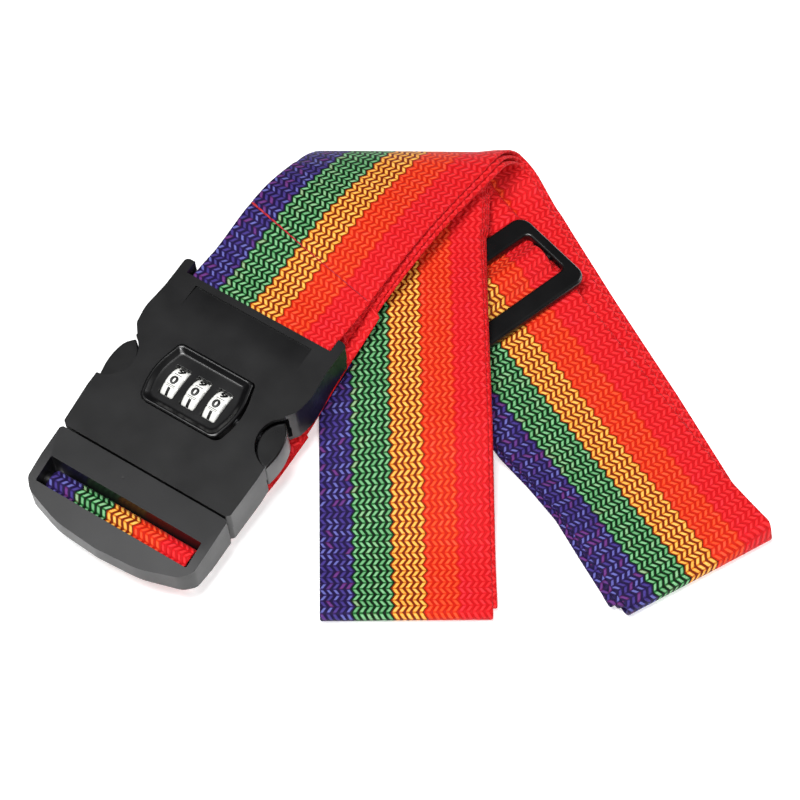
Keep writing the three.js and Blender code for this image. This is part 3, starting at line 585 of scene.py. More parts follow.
def webbing_material():
    """Woven stripes: 26 columns of short slanting floats, which lean left and right in turn,
    over a darker ground. The ground is partly the ground yarn's colour and partly painted shade
    between the floats and where they dip at their bends, and the float tops carry a painted
    highlight. Five columns make a stripe, and the red one has six."""
    s = Shader("rainbow_webbing", Roughness=0.6, Sheen_Weight=0.02, Specular_IOR_Level=0.12)
    uv = s.add("ShaderNodeUVMap", uv_map="strap").outputs[0]
    sep = s.add("ShaderNodeSeparateXYZ")
    s.link(uv, sep.inputs[0])
    t, along = sep.outputs[0], sep.outputs[1]
    wander = s.noise(uv, 0.35, 1.0)
    wander = s.math("MULTIPLY_ADD", wander, 0.5, -0.25)
    beat = s.math("FRACT", s.math("MULTIPLY", along, 1 / FLOAT_PERIOD))
    tri = s.math("MULTIPLY_ADD", s.math("ABSOLUTE", s.math("SUBTRACT", beat, 0.5)), 4.0, -1.0)
    u = s.math("MULTIPLY_ADD", tri, 0.68, t)
    u = s.math("ADD", u, wander)
    col = s.math("MULTIPLY_ADD", u, 26 / 50, 13.0)
    inside = s.math("ABSOLUTE", s.math("SUBTRACT", s.math("FRACT", col), 0.5))  # 0 on a float
    ridge = s.smooth(inside, 0.12, 0.40, 1.0, 0.0)
    bend = s.math("ABSOLUTE", tri)
    dash = s.smooth(bend, 0.5, 1.0, 1.0, 0.0)
    stripe = s.math("MULTIPLY", s.math("FLOOR", col), 1 / 25.0)
    cell = s.add("ShaderNodeCombineXYZ")
    s.link(s.math("FLOOR", col), cell.inputs[0])
    s.link(s.math("FLOOR", s.math("MULTIPLY", along, 2 / FLOAT_PERIOD)), cell.inputs[1])
    rand = s.add("ShaderNodeTexWhiteNoise", noise_dimensions="2D")
    s.link(cell.outputs[0], rand.inputs["Vector"])
    rnd = rand.outputs[0]
    stretch = s.add("ShaderNodeVectorMath", operation="MULTIPLY")
    s.link(uv, stretch.inputs[0])
    stretch.inputs[1].default_value = (7.0, 1.6, 1.0)
    fibre = s.noise(stretch.outputs[0], 1.0)
    # light: lighter copies of the stripe colours, for the painted highlight on the float tops; dark:
    # the ground, partly its yarn colour and partly painted shade
    light = s.stripes(
        stripe, (70, 57, 138), (138, 200, 146), (255, 204, 98), (252, 88, 50), (248, 52, 54))
    body = s.stripes(
        stripe, (52, 37, 102), (42, 122, 60), (240, 144, 38), (238, 58, 18), (232, 26, 34))
    dark = s.stripes(
        stripe, (26, 14, 60), (0, 24, 4), (116, 30, 0), (200, 26, 2), (202, 12, 18))
    # high: the float's height, which sets both the bump and the colour, so the gaps and the bends get
    # painted shade
    high = s.math("MULTIPLY", ridge, s.math("MULTIPLY_ADD", dash, 0.72, 0.28))
    colour = s.mix(s.smooth(high, 0.10, 0.48), dark, body)
    # glint: a painted highlight on the float crests
    glint = s.math("MULTIPLY", s.smooth(high, 0.52, 0.95), s.math("MULTIPLY_ADD", rnd, 0.5, 0.5))
    colour = s.mix(glint, colour, light)
    # odd floats show the warp of a neighbour, most of all in the purple stripe
    odd = s.math("MULTIPLY", s.smooth(rnd, 0.80, 0.86), s.smooth(stripe, 0.19, 0.26, 0.22, 0.08))
    colour = s.mix(s.math("MULTIPLY", odd, ridge), colour, srgb(176, 40, 90))
    spark = s.math("MULTIPLY", s.smooth(rnd, 0.46, 0.30), s.smooth(stripe, 0.17, 0.20, 0.4, 0.0))
    colour = s.mix(s.math("MULTIPLY", spark, s.smooth(high, 0.6, 1.0)), colour, srgb(140, 150, 232))
    value = s.math("MULTIPLY_ADD", fibre, 0.44, 0.6)
    shade = s.add("ShaderNodeVectorMath", operation="SCALE")
    s.link(colour, shade.inputs[0])
    s.link(value, shade.inputs["Scale"])
    s.drive("Base Color", shade.outputs[0])
    height = s.math("ADD", high, s.math("MULTIPLY", fibre, 0.25))
    s.drive("Normal", s.bump(height, 0.00028, 0.9))
    return s.material


def plastic(name, colour, rough, grain=0.00002, specular=0.5):
    """Moulded plastic: a faint spark-eroded grain, with slow variation in gloss."""
    s = Shader(name, Base_Color=(*colour, 1.0), Specular_IOR_Level=specular)
    where = s.coords()
    fine = s.noise(where, 2600.0, 3.0)
    slow = s.noise(where, 90.0, 3.0)
    s.drive("Roughness", s.math("MULTIPLY_ADD", slow, 0.16, rough - 0.08))
    darker, lighter = (tuple(min(1.0, c * k) for c in colour) for k in (0.86, 1.14))
    s.drive("Base Color", s.mix(slow, darker, lighter))
    s.drive("Normal", s.bump(fine, grain, 0.5))
    return s.material


def steel_material():
    s = Shader("plated_steel", Base_Color=(0.56, 0.57, 0.6, 1.0), Metallic=1.0)
    where = s.coords()
    s.drive("Roughness", s.math("MULTIPLY_ADD", s.noise(where, 900.0, 4.0), 0.3, 0.15))
    s.drive("Normal", s.bump(s.noise(where, 3000.0, 2.0), 0.00001, 0.4))
    return s.material


def thread_material():
    s = Shader("red_thread", Roughness=0.6)
    where = s.coords()
    wave = s.add("ShaderNodeTexWave", wave_type="BANDS", bands_direction="DIAGONAL")
    s.link(where, wave.inputs["Vector"])
    wave.inputs["Scale"].default_value = 1300.0
    band = wave.outputs["Fac"]
    # the thread's red, darker in the grooves of its twist: painted shade, from the same bands as the
    # bump
    s.drive("Base Color", s.mix(band, srgb(120, 8, 20), srgb(206, 28, 44)))
    s.drive("Normal", s.bump(band, 0.00006, 0.8))
    return s.material


WEBBING = webbing_material()
BLACK = plastic("black_plastic", srgb(15, 15, 16), 0.36, specular=0.36)
# the male half: a lighter copy of the black plastic, with a rougher, less glossy finish; its lighter
# colour is painted light, for how its top catches the light
MALE_BLACK_LIT = plastic("black_plastic_male_lit", srgb(24, 24, 25), 0.4, specular=0.3)
GLOSSY = plastic("black_plastic_polished", srgb(12, 12, 13), 0.3, 0.00001)
DARK = plastic("dark_plastic", srgb(52, 52, 54), 0.45)
WHITE = plastic("white_plastic", srgb(226, 226, 222), 0.35, 0.00001)
INK = plastic("black_ink", srgb(14, 14, 14), 0.5, 0.00001)
STEEL = steel_material()
THREAD = thread_material()

# Solid helpers --------------------
BUCKLE_AT = Matrix.Translation((Vector((BUCKLE["x"], BUCKLE["y"], BUCKLE["z"])) + Vector(SHIFT)) * MM)
BUCKLE_AT = BUCKLE_AT @ Matrix.Rotation(-BUCKLE["yaw"], 4, "Z")
BUCKLE_AT = BUCKLE_AT @ Matrix.Rotation(BUCKLE["pitch"], 4, "X")
adj_xy = along_right(HUMP)
ADJUSTER_AT = Matrix.Translation(Vector((adj_xy[0] + SHIFT[0], adj_xy[1] + SHIFT[1], SHIFT[2])) * MM)
slider_yaw = math.atan2(right_side[1], right_side[0]) + SLIDER_TURN
ADJUSTER_AT = ADJUSTER_AT @ Matrix.Rotation(slider_yaw, 4, "Z")


def link_object(name, mesh, at, material):
    mesh.materials.append(material)
    obj = add_object(name, mesh)
    obj.matrix_world = at
    return obj


def mm_mesh(name, verts, faces):
    """A mesh in metres from points in millimetres."""
    mesh = bpy.data.meshes.new(name)
    mesh.from_pydata([tuple(c * MM for c in v) for v in verts], [], faces)
    return mesh


def solid_mesh(name, verts, faces):
    """A closed mesh from points in millimetres, its normals turned outwards."""
    mesh = mm_mesh(name, verts, faces)
    bm = bmesh.new()
    bm.from_mesh(mesh)
    bmesh.ops.recalc_face_normals(bm, faces=bm.faces)
    bm.to_mesh(mesh)
    bm.free()
    return mesh


def shade(mesh, angle):
    """Smooth shading, but for edges that turn by more than an angle in degrees."""
    mesh.shade_smooth()
    mesh.set_sharp_from_angle(angle=math.radians(angle))


def fillet(points, radii, steps=6):
    """A closed outline with each corner rounded to its own radius."""
    n, out = len(points), []
    for i, p in enumerate(points):
        p = np.array(p, float)
        r = radii[i] if hasattr(radii, "__len__") else radii
        if r <= 0:
            out.append(tuple(p))
            continue
        a = unit(np.array(points[i - 1], float) - p)
        b = unit(np.array(points[(i + 1) % n], float) - p)
        angle = math.acos(float(np.clip(a @ b, -1, 1)))
        if angle > math.radians(176):
            out.append(tuple(p))
            continue
        reach = r / math.tan(angle / 2)
        centre = p + unit(a + b) * (r / math.sin(angle / 2))
        v0, v1 = p + a * reach - centre, p + b * reach - centre
        a0, a1 = math.atan2(v0[1], v0[0]), math.atan2(v1[1], v1[0])
        turn = (a1 - a0 + math.pi) % (2 * math.pi) - math.pi
        for j in range(steps + 1):
            q = a0 + turn * j / steps
            out.append(tuple(centre + r * np.array([math.cos(q), math.sin(q)])))
    return out


def rounded_rect(x0, x1, y0, y1, r, steps=8):
    r = r if hasattr(r, "__len__") else [r] * 4  # from x0,y0 round to x0,y1
    return fillet([(x0, y0), (x1, y0), (x1, y1), (x0, y1)], r, steps)


def tube_faces(start, stop, n):
    """The faces of a closed tube whose rings, of n points each, are vertices start to stop."""
    faces = []
    for u in range(start, stop - n, n):
        faces += [(u + k, u + (k + 1) % n, u + n + (k + 1) % n, u + n + k) for k in range(n)]
    faces.append(tuple(range(stop - n, stop)))
    faces.append(tuple(range(start + n - 1, start - 1, -1)))
    return faces


def tube_mesh(name, verts, n):
    return solid_mesh(name, verts, tube_faces(0, len(verts), n))


def prism_mesh(outline, z0, z1):
    return tube_mesh("prism", [(x, y, z) for z in (z0, z1) for x, y in outline], len(outline))


def box_outline(x0, x1, y0, y1):
    return [(x0, y0), (x1, y0), (x1, y1), (x0, y1)]


def rod_mesh(x0, x1, y, z, r, sides=32):
    a = np.linspace(0, 2 * math.pi, sides, endpoint=False)
    ring = [(y + r * math.cos(q), z + r * math.sin(q)) for q in a]
    return tube_mesh("rod", [(x, p, q) for x in (x0, x1) for p, q in ring], sides)


def weigh_edges(obj, weight):
    """Sets the bevel weight of each edge from its middle and its direction, in mm."""
    mesh = obj.data
    attribute = mesh.attributes.new("bevel_weight_edge", "FLOAT", "EDGE")
    for e in mesh.edges:
        a, b = (np.array(mesh.vertices[v].co) / MM for v in e.vertices)
        attribute.data[e.index].value = weight((a + b) / 2, b - a)


def bevel(obj, width, segments, angle=35.0, by="ANGLE"):
    m = obj.modifiers.new("bevel", "BEVEL")
    m.width, m.segments, m.limit_method = width * MM, segments, by
    m.angle_limit = math.radians(angle)
    m.use_clamp_overlap = True


def cut(obj, *meshes):
    """Cuts meshes out of an object, and returns the cutters, which bake() removes."""
    cutters = []
    for mesh in meshes:
        other = add_object("cutter", mesh)
        other.matrix_world = obj.matrix_world
        m = obj.modifiers.new("cut", "BOOLEAN")
        m.operation, m.solver, m.object = "DIFFERENCE", "EXACT", other
        cutters.append(other)
    return cutters


def evaluated_mesh(obj):
    bpy.context.view_layer.update()
    graph = bpy.context.evaluated_depsgraph_get()
    return bpy.data.meshes.new_from_object(obj.evaluated_get(graph))


def bake(obj, others=(), smooth=32.0):
    """Applies the modifiers, removes the cutters, and shades by angle."""
    mesh = evaluated_mesh(obj)
    material = obj.data.materials[0]
    obj.modifiers.clear()
    obj.data = mesh
    mesh.materials.clear()
    mesh.materials.append(material)
    for o in others:
        bpy.data.objects.remove(o)
    shade(mesh, smooth)


def weighted(obj):
    m = obj.modifiers.new("normals", "WEIGHTED_NORMAL")
    m.keep_sharp = True


# Buckle, female half --------------------
NOTCH = dict(x=31.5, y=-6.55, r=8.9)


def mirrored(right):
    return list(right) + [(-x, y) for x, y in reversed(right)]


def notch_arc():
    """The thumb cut-out's edge, from the front round to the back, on the right-hand side."""
    a = np.radians(np.linspace(262, 122, 20))
    return [(NOTCH["x"] + NOTCH["r"] * math.cos(q), NOTCH["y"] + NOTCH["r"] * math.sin(q)) for q in a]


def female_outline(inset=0.0):
    right = fillet([(28.6, FRONT), (29.8, FRONT + 1.1), (30.4, -20), (30.26, -15.4)], [0, 0.8, 0, 0], 4)
    rear = fillet(
        [(26.7, 1.6), (29.0, 4.6), (30.0, 10.5), (29.1, 20.0), (29.1, BACK), (26.0, BACK)],
        [0, 3.0, 12.0, 24.0, 1.6, 0], 7)
    return mirrored([(x - inset, y) for x, y in right + notch_arc() + rear])


def bezel_outline(inset=0.0):
    """A shield: straight top and bottom, bulging sides, tighter corners at the top."""
    side = fillet(
        [(13.6, 6.2), (16.6, -5.6), (13.9, -16.2)], [0, 24, 0], 12)
    pts = fillet([(0, 6.2), (13.6, 6.2)] + side[1:-1] + [(13.9, -16.2), (0, -16.2)],
                 [0, 1.7] + [0] * (len(side) - 2) + [3.0, 0], 8)[1:-1]
    kx, ky = 1 - inset / 15.4, 1 - inset / 11.2
    return mirrored([(x * kx, -5.0 + (y + 5.0) * ky) for x, y in reversed(pts)])


def long_prism(profile_yz, x0, x1):
    """A prism that runs along x, from its outline in y and z."""
    mesh = prism_mesh([(y, z) for y, z in profile_yz], x0, x1)
    for v in mesh.vertices:
        v.co = (v.co.z, v.co.x, v.co.y)
    return mesh


def female_top():
    mesh = prism_mesh(female_outline(), 7.9, 15.5)
    obj = link_object("female_top_shell", mesh, BUCKLE_AT, BLACK)

    def weight(mid, run):
        if abs(run[2]) > 1.0 or mid[2] < 10:
            return 0.0
        x, y = abs(mid[0]), mid[1]
        if y < FRONT + 0.2:
            return 0.16
        if math.hypot(x - NOTCH["x"], y - NOTCH["y"]) < NOTCH["r"] + 0.3:
            return 0.3
        return 1.0

    weigh_edges(obj, weight)
    bevel(obj, 2.8, 7, by="WEIGHT")
    pocket = [(14.5, 15.6), (24.3, 14.75), (24.3, 17), (14.5, 17)]
    cutters = cut(
        obj,
        prism_mesh(box_outline(-26.0, 26.0, 26.6, 40), 0, 20),
        long_prism(pocket, -21.0, 21.0),
        prism_mesh(box_outline(-27.2, 27.2, FRONT - 2, 3.5), 0, 13.7),
        prism_mesh(bezel_outline(0.2), 10, 20),
    )
    bevel(obj, 0.28, 2, 50)
    bake(obj, cutters)
    weighted(skewed(obj))
    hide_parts("female_top_cover")
    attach(obj, "bundle")


def female_bottom():
    mesh = prism_mesh(female_outline(0.35), 0.0, 7.7)
    obj = link_object("female_bottom_shell", mesh, BUCKLE_AT, BLACK)

    def weight(mid, run):
        return 1.0 if abs(run[2]) < 1.0 and mid[2] < 1 else 0.0

    weigh_edges(obj, weight)
    bevel(obj, 2.6, 5, by="WEIGHT")
    cutters = cut(obj, prism_mesh(box_outline(-26.0, 26.0, 24.5, 40), -5, 20),
                  prism_mesh(box_outline(-27.2, 27.2, FRONT - 2, 22), 1.8, 20))
    bevel(obj, 0.3, 2, 50)
    bake(obj, cutters)
    rod = rod_mesh(-27.4, 27.4, 28.1, 9.0, BAR_RADIUS)
    bar = link_object("anchor_bar", rod, BUCKLE_AT, BLACK)
    shade(bar.data, 40)
    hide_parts("female_bottom_cover")
    for o in (obj, bar):
        weighted(skewed(o))
        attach(o, "bundle")


def skewed(obj):
    """The halves lie a little askew: each section steps sideways towards the handle end."""
    for v in obj.data.vertices:
        v.co.x += (0.3 + 0.042 * max(0.0, 5.0 - v.co.y / MM)) * MM
    return obj


def ring_loft(name, rings, windows, material):
    """Concentric shields, each (inset, height), closed underneath, with windows."""
    outlines = [bezel_outline(inset) for inset, _ in rings]
    verts = [(x, y, z) for outline, (_, z) in zip(outlines, rings) for x, y in outline]
    obj = link_object(name, tube_mesh(name, verts, len(outlines[0])), BUCKLE_AT, material)
    cutters = cut(obj, *(prism_mesh(w, 5, 30) for w in windows))
    bevel(obj, 0.25, 2, 60)
    bake(obj, cutters, 40)
    return obj


LOCK = dict(y=-5.7, z=9.8, pitch=7.55, wheel=6.4, width=4.7)
WINDOW = dict(half_width=2.6, half_length=5.3)


def dial_bezel():
    windows = []
    for i in (-1, 0, 1):
        x, y = i * LOCK["pitch"], LOCK["y"]
        w, h = WINDOW["half_width"], WINDOW["half_length"]
        windows.append(rounded_rect(x - w, x + w, y - h, y + h, 0.5))
    obj = ring_loft("dial_frame", [
        (0.45, 12.6), (0.4, 15.4), (0.5, 15.9), (0.75, 16.15), (1.05, 16.2), (1.35, 16.12),
        (1.6, 15.9), (2.5, 15.15), (2.8, 15.05), (3.3, 15.0),
    ], windows, GLOSSY)
    weighted(obj)
    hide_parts("dial_bezel")
    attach(obj, "bundle")


DIGIT = dict(height=2.9, widened=1.28, slices=12)  # sliced, so that it bends round a wheel


def digit_mesh(text):
    """The points in mm and the faces of a flat figure, about its middle."""
    curve = bpy.data.curves.new("digit", "FONT")
    curve.body, curve.size, curve.align_x = text, 1.0, "CENTER"
    curve.resolution_u = 4
    curve.offset = 0.05
    holder = add_object("digit", curve)
    mesh = evaluated_mesh(holder)
    bpy.data.objects.remove(holder)
    bm = bmesh.new()
    bm.from_mesh(mesh)
    for y in np.linspace(0.05, 0.75, DIGIT["slices"]):
        geometry = bm.verts[:] + bm.edges[:] + bm.faces[:]
        bmesh.ops.bisect_plane(bm, geom=geometry, plane_co=(0, float(y), 0), plane_no=(0, 1, 0))
    co = np.array([v.co[:] for v in bm.verts])
    low, high = co.min(0), co.max(0)
    middle = (low + high) / 2
    scale = DIGIT["height"] / (high[1] - low[1])
    wide = scale * DIGIT["widened"]
    verts = [((v.co.x - middle[0]) * wide, (v.co.y - middle[1]) * scale) for v in bm.verts]
    bm.verts.index_update()
    faces = [[v.index for v in f.verts] for f in bm.faces]
    bm.free()
    return verts, faces


INK_RISE = 0.03  # mm that the print stands off the wheel
BORE = 4.02


def groove(a):
    """How deep the finger grooves between the figures are at an angle round a wheel."""
    phase = (a / math.radians(36)) % 1.0
    return 0.42 * math.exp(-(((phase - 0.5) / 0.07) ** 2))


def on_wheel(x, r, a):
    """A point from its place along the axle, its radius and its angle."""
    return (x, LOCK["y"] - r * math.sin(a), LOCK["z"] + r * math.cos(a))


def drum_mesh(x, r, w):
    section = [(-w, r - 0.55), (-w + 0.35, r - 0.12), (-w + 0.8, r)]
    section += [(-dx, rr) for dx, rr in reversed(section)]
    steps, m = 120, len(section) + 2
    verts, faces = [], []
    for k in range(steps):
        a = 2 * math.pi * k / steps
        verts += [on_wheel(x + dx, rr - groove(a), a) for dx, rr in section]
        verts += [on_wheel(x + dx, BORE, a) for dx in (w, -w)]
        near, far = k * m, (k + 1) % steps * m
        faces += [(near + j, far + j, far + (j + 1) % m, near + (j + 1) % m) for j in range(m)]
    return solid_mesh("wheel", verts, faces)


def figures_mesh(x, r, w):
    """The ten figures, and dark bars along the grooves between them."""
    verts, faces = [], []
    for digit in range(10):
        a0 = math.radians(36 * digit)
        flat_verts, flat_faces = digit_mesh(str(digit))
        base = len(verts)
        verts += [on_wheel(x + px, r + INK_RISE, a0 - py / r) for px, py in flat_verts]
        faces += [[base + k for k in f] for f in flat_faces]
        for edge in (-1, 1):
            base = len(verts)
            for k in range(4):
                a = a0 + edge * math.radians(15.2 + 1.3 * k / 3)
                for dx in (-w + 0.9, w - 0.9):
                    verts.append(on_wheel(x + dx, r - groove(a) + INK_RISE, a))
            for k in range(0, 6, 2):
                faces.append([base + k, base + k + 1, base + k + 3, base + k + 2])
    return mm_mesh("figures", verts, faces)


def wheel(i):
    """A ten-digit wheel with finger grooves between its faces, its figures printed black."""
    x, r, w = (i - 2) * LOCK["pitch"], LOCK["wheel"], LOCK["width"] / 2
    drum = link_object(f"number_drum_{i}", drum_mesh(x, r, w), BUCKLE_AT, WHITE)
    shade(drum.data, 40)
    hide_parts(f"number_wheel_{i}")
    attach(drum, f"wheel_{i}")
    ink = link_object(f"figures_{i}", figures_mesh(x, r, w), BUCKLE_AT, INK)
    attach(ink, f"wheel_{i}")


SPRING = dict(start=14.6, length=5.0, radius=2.75, wire=0.26, turns=4, pressed=0.42)


def spring_coil():
    """The bolt's return spring, a wire wound round the bolt, which the bolt's collar presses."""
    steps, sides = SPRING["turns"] * 20, 8
    verts = []
    for k in range(steps + 1):
        turn = 2 * math.pi * SPRING["turns"] * k / steps
        x = SPRING["start"] + SPRING["length"] * k / steps
        for j in range(sides):
            a = 2 * math.pi * j / sides
            r = SPRING["radius"] + SPRING["wire"] * math.cos(a)
            across = (LOCK["y"] + r * math.cos(turn), LOCK["z"] + r * math.sin(turn))
            verts.append((x + SPRING["wire"] * math.sin(a), *across))
    mesh = tube_mesh("spring_coil", verts, sides)
    mesh.shade_smooth()
    obj = link_object("spring_coil", mesh, BUCKLE_AT, STEEL)
    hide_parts("spindle_spring")
    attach(obj, "bundle")
    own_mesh(obj)


# Buckle, male half --------------------
def male_outline():
    right = [(0, FRONT - 0.5), (29.2, FRONT - 0.5), (29.9, FRONT - 1.4), (29.9, -46),
             (29.6, -53.4), (26.8, -56.6), (14.5, -60.6), (0, MALE["tip"])]
    pts = fillet(right, [0, 0.6, 0.6, 12, 3.2, 6, 26, 0], 7)
    return mirrored(pts[1:-1] + [(0.01, MALE["tip"])])


def male_frame():
    mesh = prism_mesh(male_outline(), 1.8, 14.9)
    obj = link_object("male_shell", mesh, BUCKLE_AT, MALE_BLACK_LIT)

    def weight(mid, run):
        if abs(run[2]) > 1.0:
            return 0.0
        if mid[1] > FRONT - 0.8:
            return 0.1
        return 1.0

    weigh_edges(obj, weight)
    bevel(obj, 3.0, 7, by="WEIGHT")
    half = MALE["half"]
    slot = rounded_rect(-half, half, MALE["slot0"], MALE["slot1"], 0.5)
    cutters = cut(obj, prism_mesh(slot, -5, 20),
                  prism_mesh(rounded_rect(-26.0, 26.0, -41.6, -30, 0.6), -5, 4.2))
    bevel(obj, 0.35, 3, 50)
    bake(obj, cutters)
    # the handle thins towards its tip, from above and below
    for v in obj.data.vertices:
        y, z = v.co.y / MM, v.co.z / MM
        share = max(0.0, (-40.0 - y) / 22.0) ** 1.5
        v.co.z = (z - 2.2 * share * max(0.0, z - 4) / 11 + 4.5 * share * max(0.0, 9 - z) / 7.2) * MM
    weighted(skewed(obj))
    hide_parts("male_frame")
    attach(obj, "male_half")
    gate = link_object("male_gate_mark", rod_mesh(-0.42, 0.42, 0, 0, 0.4, 14), BUCKLE_AT, INK)
    for v in gate.data.vertices:
        x, y, z = v.co
        v.co = (y - 4.5 * MM, z - 39.4 * MM, x + 14.55 * MM)
    rod = rod_mesh(-27.0, 27.0, MALE["bar"], 7.2, BAR_RADIUS)
    bar = link_object("male_bar", rod, BUCKLE_AT, BLACK)
    shade(bar.data, 40)
    blade = prism_mesh(rounded_rect(-6, 6, FRONT - 1.2, -17, 1.2), 5, 9.5)
    tongue = link_object("male_tongue", blade, BUCKLE_AT, BLACK)
    bevel(tongue, 0.6, 3)
    bake(tongue)
    for o in (gate, bar, tongue):
        skewed(o)
        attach(o, "male_half")


def release_arm(side, body, node):
    """The springy prong and its thumb pad, which fills the notch like a lens."""
    arc = [
        (NOTCH["x"] + 8.6 * math.cos(q), NOTCH["y"] + 8.6 * math.sin(q))
        for q in np.radians(np.linspace(126, 256, 16))
    ]
    pad = [(27.0, 0.9), (29.4, -1.8), (30.5, -5.8), (30.7, -10.0), (30.0, -14.9)]
    lens = [tuple(p) for p in catmull(pad[::-1], 12)] + arc
    pad_mesh = prism_mesh([(x * side, y) for x, y in lens], 2.7, 13.4)
    obj = link_object(f"thumb_pad_{body}", pad_mesh, BUCKLE_AT, GLOSSY)
    bevel(obj, 0.7, 4, 45)
    bake(obj)
    prong = fillet(
        [(19.7, -35.6), (23.3, -35.6), (26.0, -26), (26.6, -14.2), (27.6, -8), (25.0, 0.5),
         (23.9, -1), (23.6, -15), (22.4, -26)],
        [0, 0, 20, 1, 1, 1, 1, 10, 20], 5)
    prong_mesh = prism_mesh([(x * side, y) for x, y in prong], 4.4, 11.2)
    arm = link_object(f"prong_{body}", prong_mesh, BUCKLE_AT, BLACK)
    bevel(arm, 0.5, 3, 45)
    bake(arm)
    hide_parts(node)
    for o in (obj, arm):
        weighted(skewed(o))
        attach(o, body)


# Adjuster --------------------
def slide_adjuster():
    mesh = prism_mesh(rounded_rect(-30, 30, -15.5, 15.5, 4.5, 10), 7.7, 10.9)
    obj = link_object("tri_glide", mesh, ADJUSTER_AT, GLOSSY)
    bevel(obj, 1.1, 5, 60)
    cutters = cut(obj, prism_mesh(rounded_rect(-26.3, 26.3, -8.5, 8.5, 1.6), 0, 20))
    bevel(obj, 0.8, 4, 60)
    bake(obj, cutters)
    weighted(obj)
    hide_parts("slide_adjuster")
    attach(obj, "adjuster")
    bar_mesh = prism_mesh(box_outline(-28.5, 28.5, -2, 2), 7.95, 9.0)
    bar = link_object("tri_glide_bar", bar_mesh, ADJUSTER_AT, GLOSSY)
    bevel(bar, 0.4, 3)
    bake(bar)
    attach(bar, "adjuster")


# Seam --------------------
STITCHES, STITCH_SIDES = 18, 8


def stitch(a, b, top_rows):
    """Rings of points along one stitch, which dips into the webbing at both its ends."""
    points = []
    for f in np.linspace(0, 1, 9):
        t = a + (b - a) * f
        s = seam_line(t)
        xy = buckle_xy + axis_dir * s + axis_side * t
        hump = math.sin(math.pi * f)
        rise = float(arch(xy) - arch(on_axis(s)))
        z = rows_height(top_rows, s) + rise + THICK / 2 - 0.1 + 0.3 * hump ** 0.7
        r = (0.42 - 0.2 * min(1.0, (t + HALF) / 24)) * (0.55 + 0.45 * hump ** 0.5)
        for q in np.linspace(0, 2 * math.pi, STITCH_SIDES, endpoint=False):
            d = np.array([*(axis_dir * math.cos(q)), math.sin(q)]) * r
            points.append(np.array([*xy, z]) + SHIFT + d)
    return points


def seam(top_rows):
    """Lock stitches in red thread, on the rows of the top layer near the seam."""
    verts, faces = [], []
    ts = np.linspace(-24.6, 24.4, STITCHES + 1)
    for a, b in zip(ts, ts[1:]):
        start = len(verts)
        verts += stitch(a, b, top_rows)
        faces += tube_faces(start, len(verts), STITCH_SIDES)
    mesh = solid_mesh("seam", verts, faces)
    mesh.shade_smooth()
    obj = link_object("seam_stitches", mesh, Matrix.Identity(4), THREAD)
    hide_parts("anchor_seam")
    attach(obj, "bundle")


def rows_height(rows, s):
    """Height of the top layer's middle at a distance along the buckle's axis."""
    along = (rows[:, :2] - SHIFT[:2] - buckle_xy) @ axis_dir
    order = np.argsort(along)
    return float(np.interp(s, along[order], rows[order, 2] - SHIFT[2]))


# Assembly --------------------
points, uv, centre = make_strap()
plan = centre[:, :2] - SHIFT[:2]


def nearest(target, z, low=0):
    """The number of the row, from a lowest one on, whose middle is nearest a point in plan at
    about a height."""
    away = np.linalg.norm(plan[low:] - target, axis=1) + 2.0 * np.abs(centre[low:, 2] - z)
    return low + int(np.argmin(away))


def at3(xy, z):
    return tuple((np.array([xy[0], xy[1], z]) + SHIFT) * MM)


JOIN = 74.0  # on the buckle's axis, where the webbing that follows the male half begins
r7_low = nearest(along_right(HUMP + 78), layer(6))
r7_mid = nearest(along_right(HUMP), 11.1)
r7_high = nearest(along_right(15), layer(7), r7_mid)
l3_cut = nearest(on_axis(JOIN), TOP["L3"] + 0.5, r7_high + 200)
l2_cut = nearest(on_axis(JOIN), TOP["L2"] + 0.5, l3_cut + 60)
r6_cut = nearest(along_right(15), layer(6), l2_cut + 200)
end = len(plan) - 1
SEAM_ROWS = slice(36, 80)  # the top layer near the seam
# for a moving piece: a body, which picks the line the places lie on, and two places on that line
# (still, moving); the assembly works out their points but does not use them, and leaves such a piece
# attached to no body
MALE_SPAN = ("male_half", JOIN - 2, -40)
LOWER_SPAN = ("adjuster", HUMP + 74, HUMP + 10)
UPPER_SPAN = ("adjuster", 16, HUMP - 8)
CUTS = {
    "strap_anchor_run": (0, r7_low, ["webbing_anchor_run"], None),
    "strap_adjuster_lower": (r7_low, r7_mid, ["webbing_adjuster_run"], LOWER_SPAN),
    "strap_adjuster_upper": (r7_mid, r7_high, [], UPPER_SPAN),
    "strap_middle_run": (r7_high, l3_cut, ["webbing_middle_run"], None),
    "strap_male_loop": (l3_cut, l2_cut, ["webbing_male_loop"], MALE_SPAN),
    "strap_tail_run": (l2_cut, r6_cut, ["webbing_tail_run"], None),
    "strap_tail_loop": (r6_cut, end, ["webbing_tail_loop"], UPPER_SPAN),
}
along_centre = run_length(centre)
for name, (first, last, nodes, moves) in CUTS.items():
    piece = strap_piece(name, points, uv, first, last, WEBBING)
    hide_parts(*nodes)
    if moves is None:
        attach(piece, "bundle")
        continue
    body, still, moving = moves
    place, z = (along_right, 7) if body == "adjuster" else (on_axis, 2)
    at3(place(still), z)
    at3(place(moving), z)
    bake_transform(piece)

female_top()
female_bottom()
dial_bezel()
for i in (1, 2, 3):
    wheel(i)
spring_coil()
male_frame()
release_arm(-1, "left_arm", "release_arm_left")
release_arm(1, "right_arm", "release_arm_right")
slide_adjuster()
seam(centre[SEAM_ROWS])


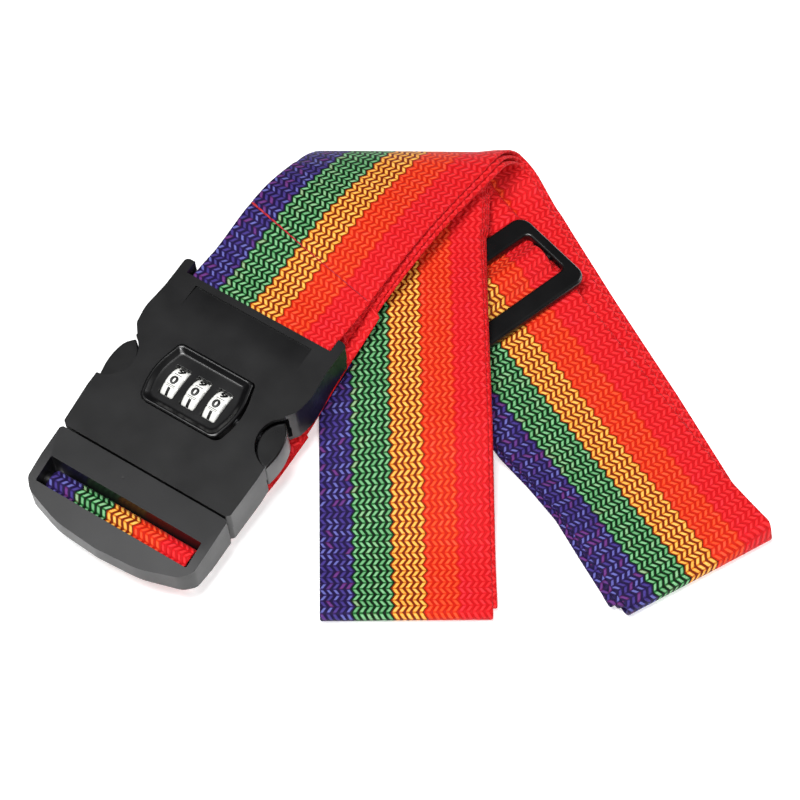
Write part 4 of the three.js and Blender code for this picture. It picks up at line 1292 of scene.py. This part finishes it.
def dress(node, material):
    """Gives a CAD node its material and smooth shading."""
    mesh = NODES[node].data
    mesh.materials.clear()
    mesh.materials.append(material)
    shade(mesh, 32)


steel_nodes = ["lock_spindle", "dial_detent_spring"]
steel_nodes += [f"clutch_sleeve_{i}" for i in (1, 2, 3)]
steel_nodes += [f"housing_screw_{i}" for i in (1, 2, 3, 4)]
dress("code_reset_slider", DARK)
for node in steel_nodes:
    dress(node, STEEL)


# Floor and lights --------------------
def floor():
    mesh = bpy.data.meshes.new("floor")
    half = 6.0  # metres
    corners = [(x, y, 0) for x, y in box_outline(-half, half, -half, half)]
    mesh.from_pydata(corners, [], [(0, 1, 2, 3)])
    s = Shader("pale_floor", Roughness=0.9, Specular_IOR_Level=0.1, Emission_Strength=0.3,
               Base_Color=(0.92, 0.92, 0.92, 1.0), Emission_Color=(1, 1, 1, 1))
    link_object("floor", mesh, Matrix.Identity(4), s.material)


def area(name, location, size, power):
    """A round light, turned towards the middle of the scene."""
    data = bpy.data.lights.new(name, "AREA")
    data.shape, data.size, data.energy = "DISK", size, power
    obj = add_object(name, data)
    obj.location = location
    obj.rotation_euler = (-Vector(location)).to_track_quat("-Z", "Y").to_euler()


def sky():
    """A studio that is bright in front and dim behind, so that flat tops stay dark."""
    world = bpy.data.worlds.new("studio")
    bpy.context.scene.world = world
    world.use_nodes = True
    tree = world.node_tree
    where = tree.nodes.new("ShaderNodeTexCoord")
    split = tree.nodes.new("ShaderNodeSeparateXYZ")
    tree.links.new(where.outputs["Generated"], split.inputs[0])
    span = tree.nodes.new("ShaderNodeMapRange")
    span.interpolation_type = "SMOOTHSTEP"
    for k, v in enumerate((-0.35, 0.45, 0.4, 0.12)):
        span.inputs[k + 1].default_value = v
    tree.links.new(split.outputs[1], span.inputs[0])
    tree.links.new(span.outputs[0], tree.nodes["Background"].inputs[1])


floor()
sky()
area("key", (-0.35, -0.25, 1.5), 0.8, 30)
area("front", (0.05, -0.8, 0.98), 0.16, 7.5)
area("right", (1.15, 0.35, 0.5), 0.5, 5)
bpy.context.scene.view_settings.view_transform = "Standard"
